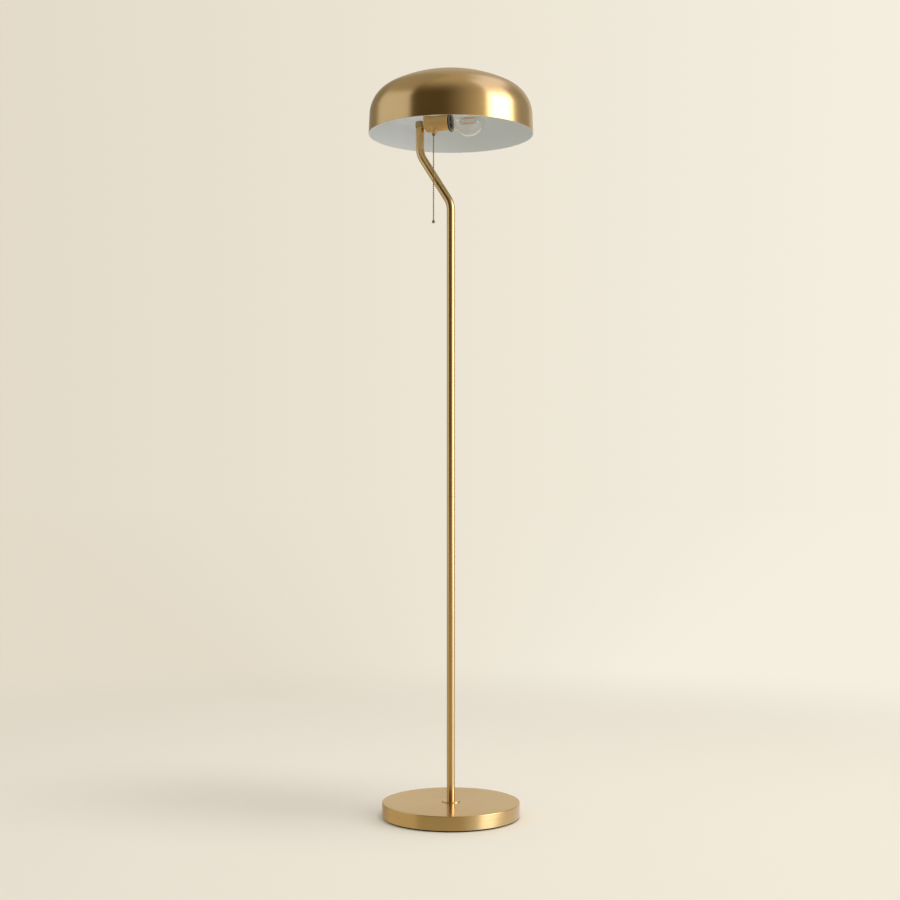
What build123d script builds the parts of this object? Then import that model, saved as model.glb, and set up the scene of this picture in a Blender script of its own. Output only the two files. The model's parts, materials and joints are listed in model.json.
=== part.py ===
from build123d import *
import os
from math import atan2, cos, hypot, radians, sin, sqrt

# Mushroom floor lamp. Millimetres, +Z up, origin on the floor under the pole's axis.
# The neck leans towards -X, the socket and its bulb point along +X, and the pull chain hangs on the -Y side.

# ---------------------------------------------------------------- clearances
press_fit = 0.05         # radial play of pieces pressed or glued into each other
thread_fit = 0.05        # radial play between a threaded rod and its tapped hole
slip_fit = 0.3           # radial play of a loose insert, and the gap beside a moving piece

# ---------------------------------------------------------------- base
base_radius = 134.0
base_wall_height = 27.0  # brass cover, from its lower rim to its top face
base_skin = 1.2
base_edge = 1.2          # rounding round the top face
pad_thickness = 3.0
pad_inset = 5.0          # the pad stands back from the cover, which leaves a dark gap
nut_pocket_radius = 20.0
nut_pocket_depth = 14.0
web_inner_radius = 34.0  # cast pockets under the weight, between its webs
web_outer_radius = 112.0
web_pocket_depth = 9.0
web_count = 6
web_width = 10.0
outlet_height = 7.5      # axis of the cord outlet above the pad
outlet_radius = 4.5      # hole in the cover's rear
outlet_bore = 3.25       # clear bore of the grommet
grommet_lip = 6.2
grommet_lip_width = 1.5
grommet_edge = 0.6
channel_width = 9.0
grommet_pocket_width = 14.0
grommet_pocket_depth = 6.0
foot_disc_radius = 17.8
foot_disc_thickness = 1.5
foot_disc_edge = 0.6

# ---------------------------------------------------------------- threaded pipe, nuts and washers
pipe_radius = 4.8        # outside of the hollow threaded rod
pipe_bore = 3.2
nut_across_flats = 14.3
base_nut_height = 5.0
base_washer_radius = 13.0
base_washer_thickness = 1.6
base_pipe_tail = 3.0     # threaded rod left standing below the nut

# ---------------------------------------------------------------- pole
tube_radius = 8.0
tube_wall = 1.2
tube_edge = 0.35         # chamfer that shows as a fine dark seam
lower_section = 592.5
middle_section = 382.0
insert_length = 20.0
stud_reach = 16.0
knee_height = 189.5      # from the upper section's foot to its first knee
bend_rise = 100.7
neck_offset = 65.0
bend_radius = 45.0       # centre line
neck_height = 51.2       # from the second knee to the tube's top

# ---------------------------------------------------------------- knuckle, strap and the clamped stack
knuckle_radius = 8.9
knuckle_height = 13.8
knuckle_rounding = 3.0
knuckle_chamfer = 0.6
knuckle_spigot = 12.0
knuckle_bore = 3.6
arm_rise = 6.7           # from the tube's top to the socket's axis
flat_offset = 7.9        # spot face for the washer, from the neck's axis
arm_washer_radius = 6.5
arm_washer_thickness = 2.1
strap_thickness = 2.6
strap_width = 16.0
strap_bend = 3.0         # inside radius
arm_pipe_depth = 4.0     # how far the nipple goes into the knuckle
arm_nut_height = 3.0

# ---------------------------------------------------------------- shade
shade_radius = 160.4     # at the rim
shade_draft = 1.7        # how far the wall leans in towards its top
shade_wall_height = 38.0
shade_shoulder = 63.0
shade_height = 121.0
shade_skin = 1.2
rim_drop = 24.6          # from the socket's axis down to the rim
strap_gap = 1.1          # between the strap's outer corner and the shade above it
crown_spacer_radius = 9.0
shade_nut_height = 5.0
shade_nipple_tail = 1.5  # threaded rod left standing below the nut
shade_nipple_reach = 5.6 # above the crown, inside the finial
finial_radius = 8.0
finial_height = 8.0
finial_rounding = 3.2
finial_grooves = 20
finial_groove_radius = 0.7
finial_groove_setout = 0.35  # from the finial's edge out to each groove's centre
finial_groove_height = 4.8
finial_bore_depth = 6.0

# ---------------------------------------------------------------- socket
cap_length = 12.4
cap_rounding = 5.0
cap_skin = 0.6
shell_radius = 15.5
shell_skin = 0.5
shell_end = -1.2         # mouth of the brass barrel, measured along X from the pole's axis
shell_lap = 3.0          # length of barrel inside the cap
liner_skin = 0.6
liner_setback = 7.0
ring_radius = 18.7
ring_thickness = 3.0
ring_skirt = 5.5
ring_bore = 14.2
ring_mouth = 16.4
ring_edge = 0.6
ring_flare_depth = 1.65  # how far the funnel of the mouth runs into the skirt
ring_ribs = 28
ring_notch_radius = 0.7  # grooves between the ribs
ring_notch_setout = 0.2  # from the ring's edge out to each groove's centre
body_length = 9.6
body_standoff = 1.1      # from the bulb's contact back to the body's front
body_floor = 2.4
body_wall = 1.1
cover_thickness = 0.8
screw_shell_bore = 13.45
screw_shell_skin = 0.5
screw_shell_length = 26.6
contact_gap = 0.1
leaf_thickness = 0.4
leaf_length = 11.6
leaf_width = 3.6
rivet_radius = 1.2
rivet_offset = 7.5
rivet_margin = 1.0       # clear ring round the rivet's head
terminal_radius = 2.4
terminal_height = 1.8
terminal_circle = 10.9
terminal_angle = 40.0
terminal_slot = 0.7      # width and depth of the driver's slot

# ---------------------------------------------------------------- switch inside the socket
axle_radius = 1.0
drum_radius = 5.0
drum_length = 3.4
drum_notches = 4
drum_notch_radius = 2.1
drum_notch_setout = 0.8  # from the drum's edge out to each notch's centre
arm_thickness = 1.0
arm_width = 3.2
arm_hub_radius = 4.0
arm_eye_radius = 0.8
spring_radius = 2.4
spring_wire = 0.2
spring_pitch = 0.5
spring_turns = 3
blade_thickness = 0.4
blade_length = 9.0
blade_gap = 0.15         # between the drum and each blade

# ---------------------------------------------------------------- chain and its bell
bell_x = -31.4
bell_tilt = 27.0         # degrees from straight down, towards -Y
bell_skin = 0.8
bell_reach = 28.0        # from the socket's axis to the bell's mouth
bell_stations = [(12.0, -3.5, 10.5), (19.0, -1.0, 6.4), (25.0, 0.0, 3.5), (bell_reach, 0.0, 4.1)]
ball_radius = 1.6
ball_pitch = 4.1
link_radius = 0.45
ball_count = 39
hinge_gap = 0.1          # between the last ball in the bell and the hanging chain
chain_end_radius = 3.2
chain_end_neck = 1.45
chain_end_height = 8.0
chain_end_bevel = 0.45

# ---------------------------------------------------------------- bulb
bulb_radius = 30.0
bulb_centre = 37.7       # along X from the pole's axis
bulb_neck_radius = 12.6
bulb_neck_start = -9.0
bulb_glass_skin = 0.9
base_shell_radius = 13.1
base_shell_root = 12.4
base_shell_skin = 0.4
base_shell_start = -30.5
base_shell_end = -10.5
base_thread_pitch = 3.629
base_thread_crests = 4
glass_seat = 3.0         # glass held inside the base's collar
contact_tip = -36.5
contact_radius = 4.8
contact_height = 1.5
contact_bevel = 1.2
insulator_step = 1.2     # height of the bevel where the glass insulator meets the base
insulator_root = 11.0
insulator_tip = 5.4
stem_foot = 1.0
stem_flare = 8.0         # height of the stem's flared foot
stem_radius = 2.2
stem_end = 20.0
filament_length = 28.0
filament_radius = 0.9
filament_circle = 7.0
filament_start = 22.0
filament_count = 4
support_wire = 0.35

# ---------------------------------------------------------------- heights and places that follow
base_bottom = pad_thickness
base_top = base_bottom + base_wall_height
pole_foot = base_top + foot_disc_thickness
lower_seam = pole_foot + lower_section
upper_seam = lower_seam + middle_section
tube_top = upper_seam + knee_height + bend_rise + neck_height
axis_z = tube_top + arm_rise
rim_z = axis_z - rim_drop
tube_bore = tube_radius - tube_wall
neck_x = -neck_offset
flat_x = neck_x + flat_offset
strap_x = flat_x + arm_washer_thickness
cap_x = strap_x + strap_thickness
shade_wall_radius = shade_radius - shade_draft
cap_front = cap_x + cap_length
shell_start = cap_front - shell_lap
shell_bore = shell_radius - shell_skin
liner_bore = shell_bore - press_fit - liner_skin
body_radius = liner_bore - press_fit
cap_radius = shell_radius + press_fit + cap_skin
arm_length = body_radius - body_wall - slip_fit - arm_width / 2
cap_inner_face = cap_x + cap_skin
arm_nut_end = cap_inner_face + arm_nut_height
body_front = contact_tip - body_standoff
body_start = body_front - body_length
cover_start = body_start - cover_thickness

parts = {}


def along_x(x, shape):
    """Turn a piece built upwards on Z so that it runs along +X from x, on the socket's axis."""
    return Pos(x, 0, axis_z) * Rot(0, 90, 0) * shape


def rod(radius, height, z=0.0):
    return Pos(0, 0, z) * Cylinder(radius, height, align=(Align.CENTER, Align.CENTER, Align.MIN))


def pipe(radius, bore, height, z=0.0):
    return rod(radius, height, z) - rod(bore, height, z)


def hex_nut(across_flats, bore, height, z=0.0):
    blank = extrude(RegularPolygon(across_flats / 2, 6, major_radius=False), height)
    return Pos(0, 0, z) * (blank - rod(bore, height))


def turned(*points):
    """A solid turned from the closed outline of (radius, height) points."""
    outline = Polyline(*points, close=True)
    return revolve(make_face(Plane.XZ * outline), Axis.Z)


def turned_edges(edges):
    """A solid turned from edges that are drawn in radius and height and close on themselves."""
    return revolve(Plane.XZ * make_face(edges), Axis.Z)


def outer_circles(shape, radius):
    return [edge for edge in shape.edges().filter_by(GeomType.CIRCLE) if edge.radius > radius]


# ---------------------------------------------------------------- base
def grommet_place():
    """The cord outlet's axis leaves the cover's rear along +Y."""
    return Pos(0, base_radius, base_bottom + outlet_height) * Rot(-90, 0, 0)


def make_base():
    cover = fillet(rod(base_radius, base_wall_height).edges().group_by(Axis.Z)[-1], base_edge)
    cover -= rod(base_radius - base_skin, base_wall_height - base_skin)
    cover -= rod(pipe_radius + thread_fit, base_wall_height)
    cover = Pos(0, 0, base_bottom) * cover
    cover -= grommet_place() * rod(outlet_radius, grommet_pocket_depth, -grommet_pocket_depth + base_skin)
    parts["base_shell"] = cover

    weight_radius = base_radius - base_skin - slip_fit
    weight_height = base_wall_height - base_skin
    weight = rod(weight_radius, weight_height)
    pockets = pipe(web_outer_radius, web_inner_radius, web_pocket_depth)
    for index in range(web_count):
        web = Rot(0, 0, 90 + index * 360 / web_count) * Pos(weight_radius / 2, 0, web_pocket_depth / 2)
        pockets -= web * Box(weight_radius, web_width + channel_width, web_pocket_depth)
    weight -= pockets
    weight -= rod(nut_pocket_radius, nut_pocket_depth)
    weight -= rod(pipe_radius + slip_fit, weight_height)
    channel_height = outlet_height + channel_width / 2
    weight -= Pos(0, weight_radius / 2, channel_height / 2) * Box(
        channel_width, weight_radius, channel_height)
    pocket_y = weight_radius - grommet_pocket_depth / 2
    pocket_height = outlet_height + grommet_pocket_width / 2
    weight -= Pos(0, pocket_y, pocket_height / 2) * Box(
        grommet_pocket_width, grommet_pocket_depth, pocket_height)
    parts["base_weight"] = Pos(0, 0, base_bottom) * weight

    parts["base_pad"] = rod(base_radius - pad_inset, pad_thickness)

    lip_seat = base_radius - sqrt(base_radius ** 2 - grommet_lip ** 2)
    groove = base_skin + lip_seat
    grommet = turned(
        (outlet_bore, -groove - grommet_lip_width), (grommet_lip - grommet_edge, -groove - grommet_lip_width),
        (grommet_lip, -groove - grommet_lip_width + grommet_edge), (grommet_lip, -groove),
        (outlet_radius - press_fit, -groove), (outlet_radius - press_fit, 0), (grommet_lip, 0),
        (grommet_lip, grommet_lip_width - grommet_edge), (grommet_lip - grommet_edge, grommet_lip_width),
        (outlet_bore, grommet_lip_width))
    parts["cord_grommet"] = grommet_place() * grommet

    disc = rod(foot_disc_radius, foot_disc_thickness)
    disc = fillet(disc.edges().group_by(Axis.Z)[-1], foot_disc_edge)
    parts["foot_disc"] = Pos(0, 0, base_top) * (disc - rod(pipe_radius + thread_fit, foot_disc_thickness))

    pocket_roof = base_bottom + nut_pocket_depth
    washer_z = pocket_roof - base_washer_thickness
    nut_z = washer_z - base_nut_height
    pipe_z = nut_z - base_pipe_tail
    parts["base_washer"] = pipe(base_washer_radius, pipe_radius + thread_fit, base_washer_thickness, washer_z)
    parts["base_nut"] = hex_nut(nut_across_flats, pipe_radius + thread_fit, base_nut_height, nut_z)
    pipe_top = pole_foot + insert_length - tube_wall
    parts["base_nipple"] = pipe(pipe_radius, pipe_bore, pipe_top - pipe_z, pipe_z)


# ---------------------------------------------------------------- pole
def straight_tube(length, z):
    tube = pipe(tube_radius, tube_bore, length)
    return Pos(0, 0, z) * chamfer(outer_circles(tube, tube_bore + tube_wall / 2), tube_edge)


def make_pole():
    bush_radius = tube_bore - press_fit
    tapped = pipe_radius + thread_fit
    parts["pole_foot_bushing"] = pipe(bush_radius, tapped, insert_length, pole_foot)
    parts["pole_lower"] = straight_tube(lower_section, pole_foot)
    parts["pole_middle"] = straight_tube(middle_section, lower_seam)
    for name, seam in (("lower_joint", lower_seam), ("upper_joint", upper_seam)):
        stud = pipe(bush_radius, pipe_bore, insert_length, seam - insert_length)
        parts[name + "_stud"] = stud + pipe(pipe_radius, pipe_bore, stud_reach, seam)
        parts[name + "_bushing"] = pipe(bush_radius, tapped, insert_length, seam)

    first_knee = upper_seam + knee_height
    second_knee = first_knee + bend_rise
    path = FilletPolyline(
        (0, 0, upper_seam), (0, 0, first_knee), (neck_x, 0, second_knee), (neck_x, 0, tube_top),
        radius=bend_radius)
    outside = sweep(Pos(0, 0, upper_seam) * Circle(tube_radius), path)
    inside = sweep(Pos(0, 0, upper_seam) * Circle(tube_bore), path)
    tube = outside - inside
    rims = outer_circles(tube, tube_bore + tube_wall / 2)
    foot_rim = [edge for edge in rims if abs(edge.center().Z - upper_seam) < tube_edge]
    parts["pole_upper"] = chamfer(foot_rim, tube_edge)


# ---------------------------------------------------------------- the shade's form
def dome_edges(inset):
    """The shade's profile, from the rim to the crown, drawn a given distance inside its outer face."""
    lean = atan2(shade_draft, shade_wall_height)
    shoulder_x = shade_wall_radius - shade_shoulder * cos(lean)
    shoulder_y = shade_wall_height - shade_shoulder * sin(lean)
    fall = shade_height - shoulder_y
    crown_radius = (shoulder_x ** 2 + fall ** 2 - shade_shoulder ** 2) / (2 * (fall - shade_shoulder))
    crown_y = shade_height - crown_radius
    turn = atan2(shoulder_x, shoulder_y - crown_y)
    small = shade_shoulder - inset
    large = crown_radius - inset

    def on_shoulder(angle):
        return (shoulder_x + small * cos(angle), shoulder_y + small * sin(angle))

    def on_crown(angle):
        return (large * sin(angle), crown_y + large * cos(angle))

    wall_top = on_shoulder(lean)
    rim = (wall_top[0] + wall_top[1] * shade_draft / shade_wall_height, 0)
    meeting = on_crown(turn)
    middle = on_shoulder((lean + radians(90) - turn) / 2)
    return rim, wall_top, middle, meeting, on_crown(turn / 2), on_crown(0)


def dome_height(radius, inset):
    """Height above the rim of the crown's face at a given radius."""
    crown = dome_edges(inset)[5][1]
    half_way = dome_edges(inset)[4]
    sag = crown - half_way[1]
    ball = (half_way[0] ** 2 + sag ** 2) / (2 * sag)
    return crown - ball + sqrt(ball ** 2 - radius ** 2)


def strap_height():
    """Top of the strap's level leg: as high as its outer corner fits under the crown."""
    return rim_z + dome_height(hypot(strap_x, strap_width / 2), shade_skin) - strap_gap


# ---------------------------------------------------------------- knuckle and strap
def make_neck():
    knuckle = rod(knuckle_radius, knuckle_height)
    knuckle = fillet(knuckle.edges().group_by(Axis.Z)[-1], knuckle_rounding)
    knuckle = chamfer(knuckle.edges().group_by(Axis.Z)[0], knuckle_chamfer)
    knuckle += rod(tube_bore - press_fit, knuckle_spigot, -knuckle_spigot)
    knuckle -= rod(knuckle_bore, knuckle_spigot + arm_rise, -knuckle_spigot)
    knuckle = Pos(neck_x, 0, tube_top) * knuckle
    knuckle -= along_x(neck_x, rod(pipe_radius + thread_fit, knuckle_radius))
    knuckle -= along_x(flat_x, rod(arm_washer_radius + slip_fit, knuckle_radius))
    parts["knuckle"] = knuckle

    hole = pipe_radius + thread_fit
    pipe_start = flat_x - arm_pipe_depth
    pipe_length = arm_nut_end + slip_fit - pipe_start
    parts["arm_nipple"] = along_x(pipe_start, pipe(pipe_radius, pipe_bore, pipe_length))
    parts["arm_washer"] = along_x(flat_x, pipe(arm_washer_radius, hole, arm_washer_thickness))
    parts["arm_nut"] = along_x(cap_inner_face, hex_nut(nut_across_flats, hole, arm_nut_height))

    strap_top = strap_height()
    corner = strap_bend + strap_thickness
    half = strap_width / 2
    upright_top = strap_top - corner
    upright = Pos(0, 0, (axis_z + upright_top) / 2) * Box(strap_thickness, strap_width, upright_top - axis_z)
    upright = Pos(strap_x + strap_thickness / 2, 0, 0) * upright
    upright += along_x(strap_x, rod(half, strap_thickness))
    elbow_axis = Pos(strap_x + corner, 0, strap_top - corner) * Rot(90, 0, 0)
    elbow = elbow_axis * Cylinder(corner, strap_width) - elbow_axis * Cylinder(strap_bend, strap_width)
    elbow &= Pos(strap_x + corner / 2, 0, strap_top - corner / 2) * Box(corner, strap_width, corner)
    level_start = strap_x + corner
    level = Pos(level_start / 2, 0, strap_top - strap_thickness / 2) * Box(
        -level_start, strap_width, strap_thickness)
    level += rod(half, strap_thickness, strap_top - strap_thickness)
    strap = upright + elbow + level
    strap -= along_x(strap_x, rod(hole, strap_thickness))
    strap -= rod(hole, strap_thickness, strap_top - strap_thickness)
    parts["shade_strap"] = strap


# ---------------------------------------------------------------- shade
def make_shade():
    outer = dome_edges(0)
    inner = dome_edges(shade_skin)
    profile = [
        Line(outer[0], outer[1]), ThreePointArc(outer[1], outer[2], outer[3]),
        ThreePointArc(outer[3], outer[4], outer[5]), Line(outer[5], inner[5]),
        ThreePointArc(inner[5], inner[4], inner[3]), ThreePointArc(inner[3], inner[2], inner[1]),
        Line(inner[1], inner[0]), Line(inner[0], outer[0])]
    shade = turned_edges(profile)
    hole = pipe_radius + thread_fit
    shade -= rod(hole, shade_height + shade_skin)
    parts["shade"] = Pos(0, 0, rim_z) * shade

    strap_top = strap_height()
    seat = rim_z + dome_height(crown_spacer_radius, shade_skin)
    parts["crown_spacer"] = pipe(crown_spacer_radius, hole, seat - strap_top, strap_top)
    nut_z = strap_top - strap_thickness - shade_nut_height
    parts["shade_nut"] = hex_nut(nut_across_flats, hole, shade_nut_height, nut_z)

    crown = rim_z + shade_height
    nipple_foot = nut_z - shade_nipple_tail
    parts["shade_nipple"] = pipe(
        pipe_radius, pipe_bore, crown + shade_nipple_reach - nipple_foot, nipple_foot)
    finial = rod(finial_radius, finial_height)
    finial = fillet(finial.edges().group_by(Axis.Z)[-1], finial_rounding)
    for index in range(finial_grooves):
        place = Rot(0, 0, index * 360 / finial_grooves) * Pos(finial_radius + finial_groove_setout, 0, 0)
        finial -= place * rod(finial_groove_radius, finial_groove_height)
    finial -= rod(hole, finial_bore_depth)
    parts["finial"] = Pos(0, 0, crown) * finial


# ---------------------------------------------------------------- socket
def bell_plane():
    down = (0, -sin(radians(bell_tilt)), -cos(radians(bell_tilt)))
    return Plane(origin=(bell_x, 0, axis_z), x_dir=(1, 0, 0), z_dir=down)


def bell_form(inset):
    """The bell's trumpet, lofted through its stations along its own tilted axis."""
    sections = [bell_plane() * Pos(shift, 0, reach) * Circle(radius - inset)
                for reach, shift, radius in bell_stations]
    return loft(sections)


def make_socket():
    way_out = bell_form(bell_skin)
    hole = pipe_radius + thread_fit

    cap = rod(cap_radius, cap_length)
    cap = fillet(cap.edges().group_by(Axis.Z)[0], cap_rounding)
    hollow = rod(cap_radius - cap_skin, cap_length, cap_skin)
    hollow = fillet(hollow.edges().group_by(Axis.Z)[0], cap_rounding - cap_skin)
    cap -= hollow
    cap -= rod(hole, cap_skin)
    parts["socket_cap"] = along_x(cap_x, cap) - way_out

    shell_length = shell_end - shell_start
    shell = along_x(shell_start, pipe(shell_radius, shell_bore, shell_length))
    parts["socket_shell"] = shell - way_out

    liner_end = shell_end - liner_setback
    liner_radius = shell_bore - press_fit
    liner = along_x(shell_start, pipe(liner_radius, liner_bore, liner_end - shell_start))
    parts["socket_liner"] = liner - way_out

    bell = bell_form(0) - way_out
    bell -= along_x(shell_start, rod(shell_radius + press_fit, shell_length))
    bell -= along_x(cap_x, rod(cap_radius + press_fit, cap_length + slip_fit))
    parts["chain_bell"] = bell

    skirt_radius = shell_bore - press_fit
    ring = turned(
        (ring_bore, -ring_skirt), (skirt_radius, -ring_skirt), (skirt_radius, 0), (ring_radius, 0),
        (ring_radius, ring_thickness - ring_edge), (ring_radius - ring_edge, ring_thickness),
        (ring_mouth, ring_thickness), (ring_bore, -ring_flare_depth))
    for index in range(ring_ribs):
        place = Rot(0, 0, index * 360 / ring_ribs) * Pos(ring_radius + ring_notch_setout, 0, 0)
        ring -= place * rod(ring_notch_radius, ring_thickness)
    parts["socket_ring"] = along_x(shell_end, ring)

    body = rod(body_radius, body_length)
    body -= rod(body_radius - body_wall, body_length - body_floor)
    body -= rod(axle_radius + press_fit, body_length - body_floor / 2)
    rivet_place = Pos(0, rivet_offset, 0)
    body -= rivet_place * rod(rivet_radius + press_fit, body_length)
    parts["socket_body"] = along_x(body_start, body) - way_out

    cover = rod(body_radius, cover_thickness) - rod(axle_radius + press_fit, cover_thickness)
    parts["socket_cover"] = along_x(cover_start, cover)
    screws = []
    for side in (-1, 1):
        place = Rot(0, 0, side * terminal_angle) * Pos(-terminal_circle, 0, -terminal_height)
        screw = rod(terminal_radius, terminal_height)
        screw -= Box(2 * terminal_radius, terminal_slot, 2 * terminal_slot)
        screws.append(along_x(cover_start, place * screw))
    parts["terminal_screws"] = Compound(children=screws)

    screw_radius = screw_shell_bore + screw_shell_skin
    screw_shell = rod(screw_radius, screw_shell_length) - rod(
        screw_shell_bore, screw_shell_length, screw_shell_skin)
    screw_shell -= rod(rivet_offset + rivet_radius + rivet_margin, screw_shell_skin)
    parts["screw_shell"] = along_x(body_front, screw_shell)

    leaf_face = contact_tip - contact_gap - body_front
    leaf_y = rivet_offset + rivet_radius - leaf_length / 2
    leaf = Pos(0, leaf_y, leaf_face - leaf_thickness / 2) * Box(leaf_width, leaf_length, leaf_thickness)
    leaf += rivet_place * rod(rivet_radius, leaf_face + body_floor, -body_floor)
    parts["centre_contact"] = along_x(body_front, leaf)


# ---------------------------------------------------------------- switch
def make_switch():
    axle_length = body_length - body_floor / 2 + cover_thickness
    parts["switch_axle"] = along_x(cover_start, rod(axle_radius, axle_length))
    running = axle_radius + press_fit
    cavity_end = body_front - body_floor
    drum_start = cavity_end - slip_fit - drum_length
    drum = pipe(drum_radius, running, drum_length)
    for index in range(drum_notches):
        turn = Rot(0, 0, (index + 0.5) * 360 / drum_notches)
        drum -= turn * Pos(drum_radius + drum_notch_setout, 0, 0) * rod(drum_notch_radius, drum_length)
    parts["switch_drum"] = along_x(drum_start, drum)

    arm_start = drum_start - slip_fit - arm_thickness
    bar = Pos(0, -arm_length / 2, arm_thickness / 2) * Box(arm_width, arm_length, arm_thickness)
    bar += rod(arm_hub_radius, arm_thickness)
    bar += Pos(0, -arm_length, 0) * rod(arm_width / 2, arm_thickness)
    bar -= Pos(0, -arm_length, 0) * rod(arm_eye_radius, arm_thickness)
    bar -= rod(running, arm_thickness)
    parts["pull_arm"] = along_x(arm_start, bar)

    coil = Helix(spring_pitch, spring_pitch * spring_turns, spring_radius)
    wire = sweep(Plane(origin=coil @ 0, z_dir=coil % 0) * Circle(spring_wire), coil, is_frenet=True)
    parts["return_spring"] = along_x(body_start + 2 * spring_wire, wire)

    blades = []
    for side in (-1, 1):
        reach = drum_radius + blade_gap + blade_thickness / 2
        blade = Pos(0, side * reach, (drum_length + slip_fit) / 2) * Box(
            blade_length, blade_thickness, drum_length + slip_fit)
        blades.append(along_x(drum_start, blade))
    parts["contact_blades"] = Compound(children=blades)


# ---------------------------------------------------------------- chain
def ball_string(count, first_link):
    """Balls hung below the origin at the chain's pitch, each on the short link above it."""
    outline = []
    for index in range(count):
        centre = -first_link - index * ball_pitch
        neck = sqrt(ball_radius ** 2 - link_radius ** 2)
        start = 0 if index == 0 else centre + ball_pitch - neck
        outline.append(Line((link_radius, start), (link_radius, centre + neck)))
        outline.append(ThreePointArc((link_radius, centre + neck), (ball_radius, centre),
                                     (link_radius, centre - neck)))
    return outline


def make_chain():
    down = radians(bell_tilt)
    chain_y = -bell_reach * sin(down)
    mouth_z = axis_z - bell_reach * cos(down)
    hinge_z = mouth_z - ball_pitch / 2
    lead_top = hinge_z + ball_pitch + ball_radius

    lead_edges = ball_string(2, 0)[1:]
    top = (0, ball_radius)
    neck = sqrt(ball_radius ** 2 - link_radius ** 2)
    lead_edges[0] = ThreePointArc(top, (ball_radius, 0), (link_radius, -neck))
    end = -ball_pitch - ball_radius
    lead_edges[2] = ThreePointArc((link_radius, -ball_pitch + neck), (ball_radius, -ball_pitch), (0, end))
    lead = turned_edges(lead_edges + [Line((0, end), top)])
    parts["chain_lead"] = Pos(bell_x, chain_y, lead_top - ball_radius) * lead

    link_top = hinge_z - ball_radius - hinge_gap
    first = ball_pitch - ball_radius - hinge_gap
    edges = ball_string(ball_count, first)
    foot = -first - (ball_count - 1) * ball_pitch - neck
    chain_foot = foot - 2 * (ball_pitch / 2 - neck)
    edges += Polyline((link_radius, foot), (link_radius, chain_foot), (0, chain_foot), (0, 0),
                      (link_radius, 0)).edges()
    chain = turned_edges(edges)
    parts["pull_chain"] = Pos(bell_x, chain_y, link_top) * chain

    ball_z = chain_end_radius - chain_end_height
    meet = sqrt(chain_end_radius ** 2 - chain_end_neck ** 2)
    end_edges = [
        Line((0, 0), (chain_end_neck - chain_end_bevel, 0)),
        Line((chain_end_neck - chain_end_bevel, 0), (chain_end_neck, -chain_end_bevel)),
        Line((chain_end_neck, -chain_end_bevel), (chain_end_neck, ball_z + meet)),
        ThreePointArc((chain_end_neck, ball_z + meet), (chain_end_radius, ball_z), (0, -chain_end_height)),
        Line((0, -chain_end_height), (0, 0))]
    chain_end = turned_edges(end_edges)
    parts["chain_end"] = Pos(bell_x, chain_y, link_top + chain_foot) * chain_end


# ---------------------------------------------------------------- bulb
def glass_edges(inset):
    """The bulb's profile along its axis, from the neck's open end to the round tip."""
    ball = bulb_radius - inset
    neck = bulb_neck_radius - inset
    run = bulb_centre - bulb_neck_start
    hollow = (run ** 2 + neck ** 2 - ball ** 2) / (2 * (ball - neck))
    angle = atan2(neck + hollow, run)
    meeting = (ball * sin(angle), bulb_centre - ball * cos(angle))
    half = (angle + radians(90)) / 2
    middle = (neck + hollow - hollow * sin(half), bulb_neck_start + hollow * cos(half))
    start = (neck, base_shell_end - glass_seat)
    tip = (0, bulb_centre + ball)
    side = (ball * sin(angle / 2 + radians(90)), bulb_centre - ball * cos(angle / 2 + radians(90)))
    return start, (neck, bulb_neck_start), middle, meeting, side, tip


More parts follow.
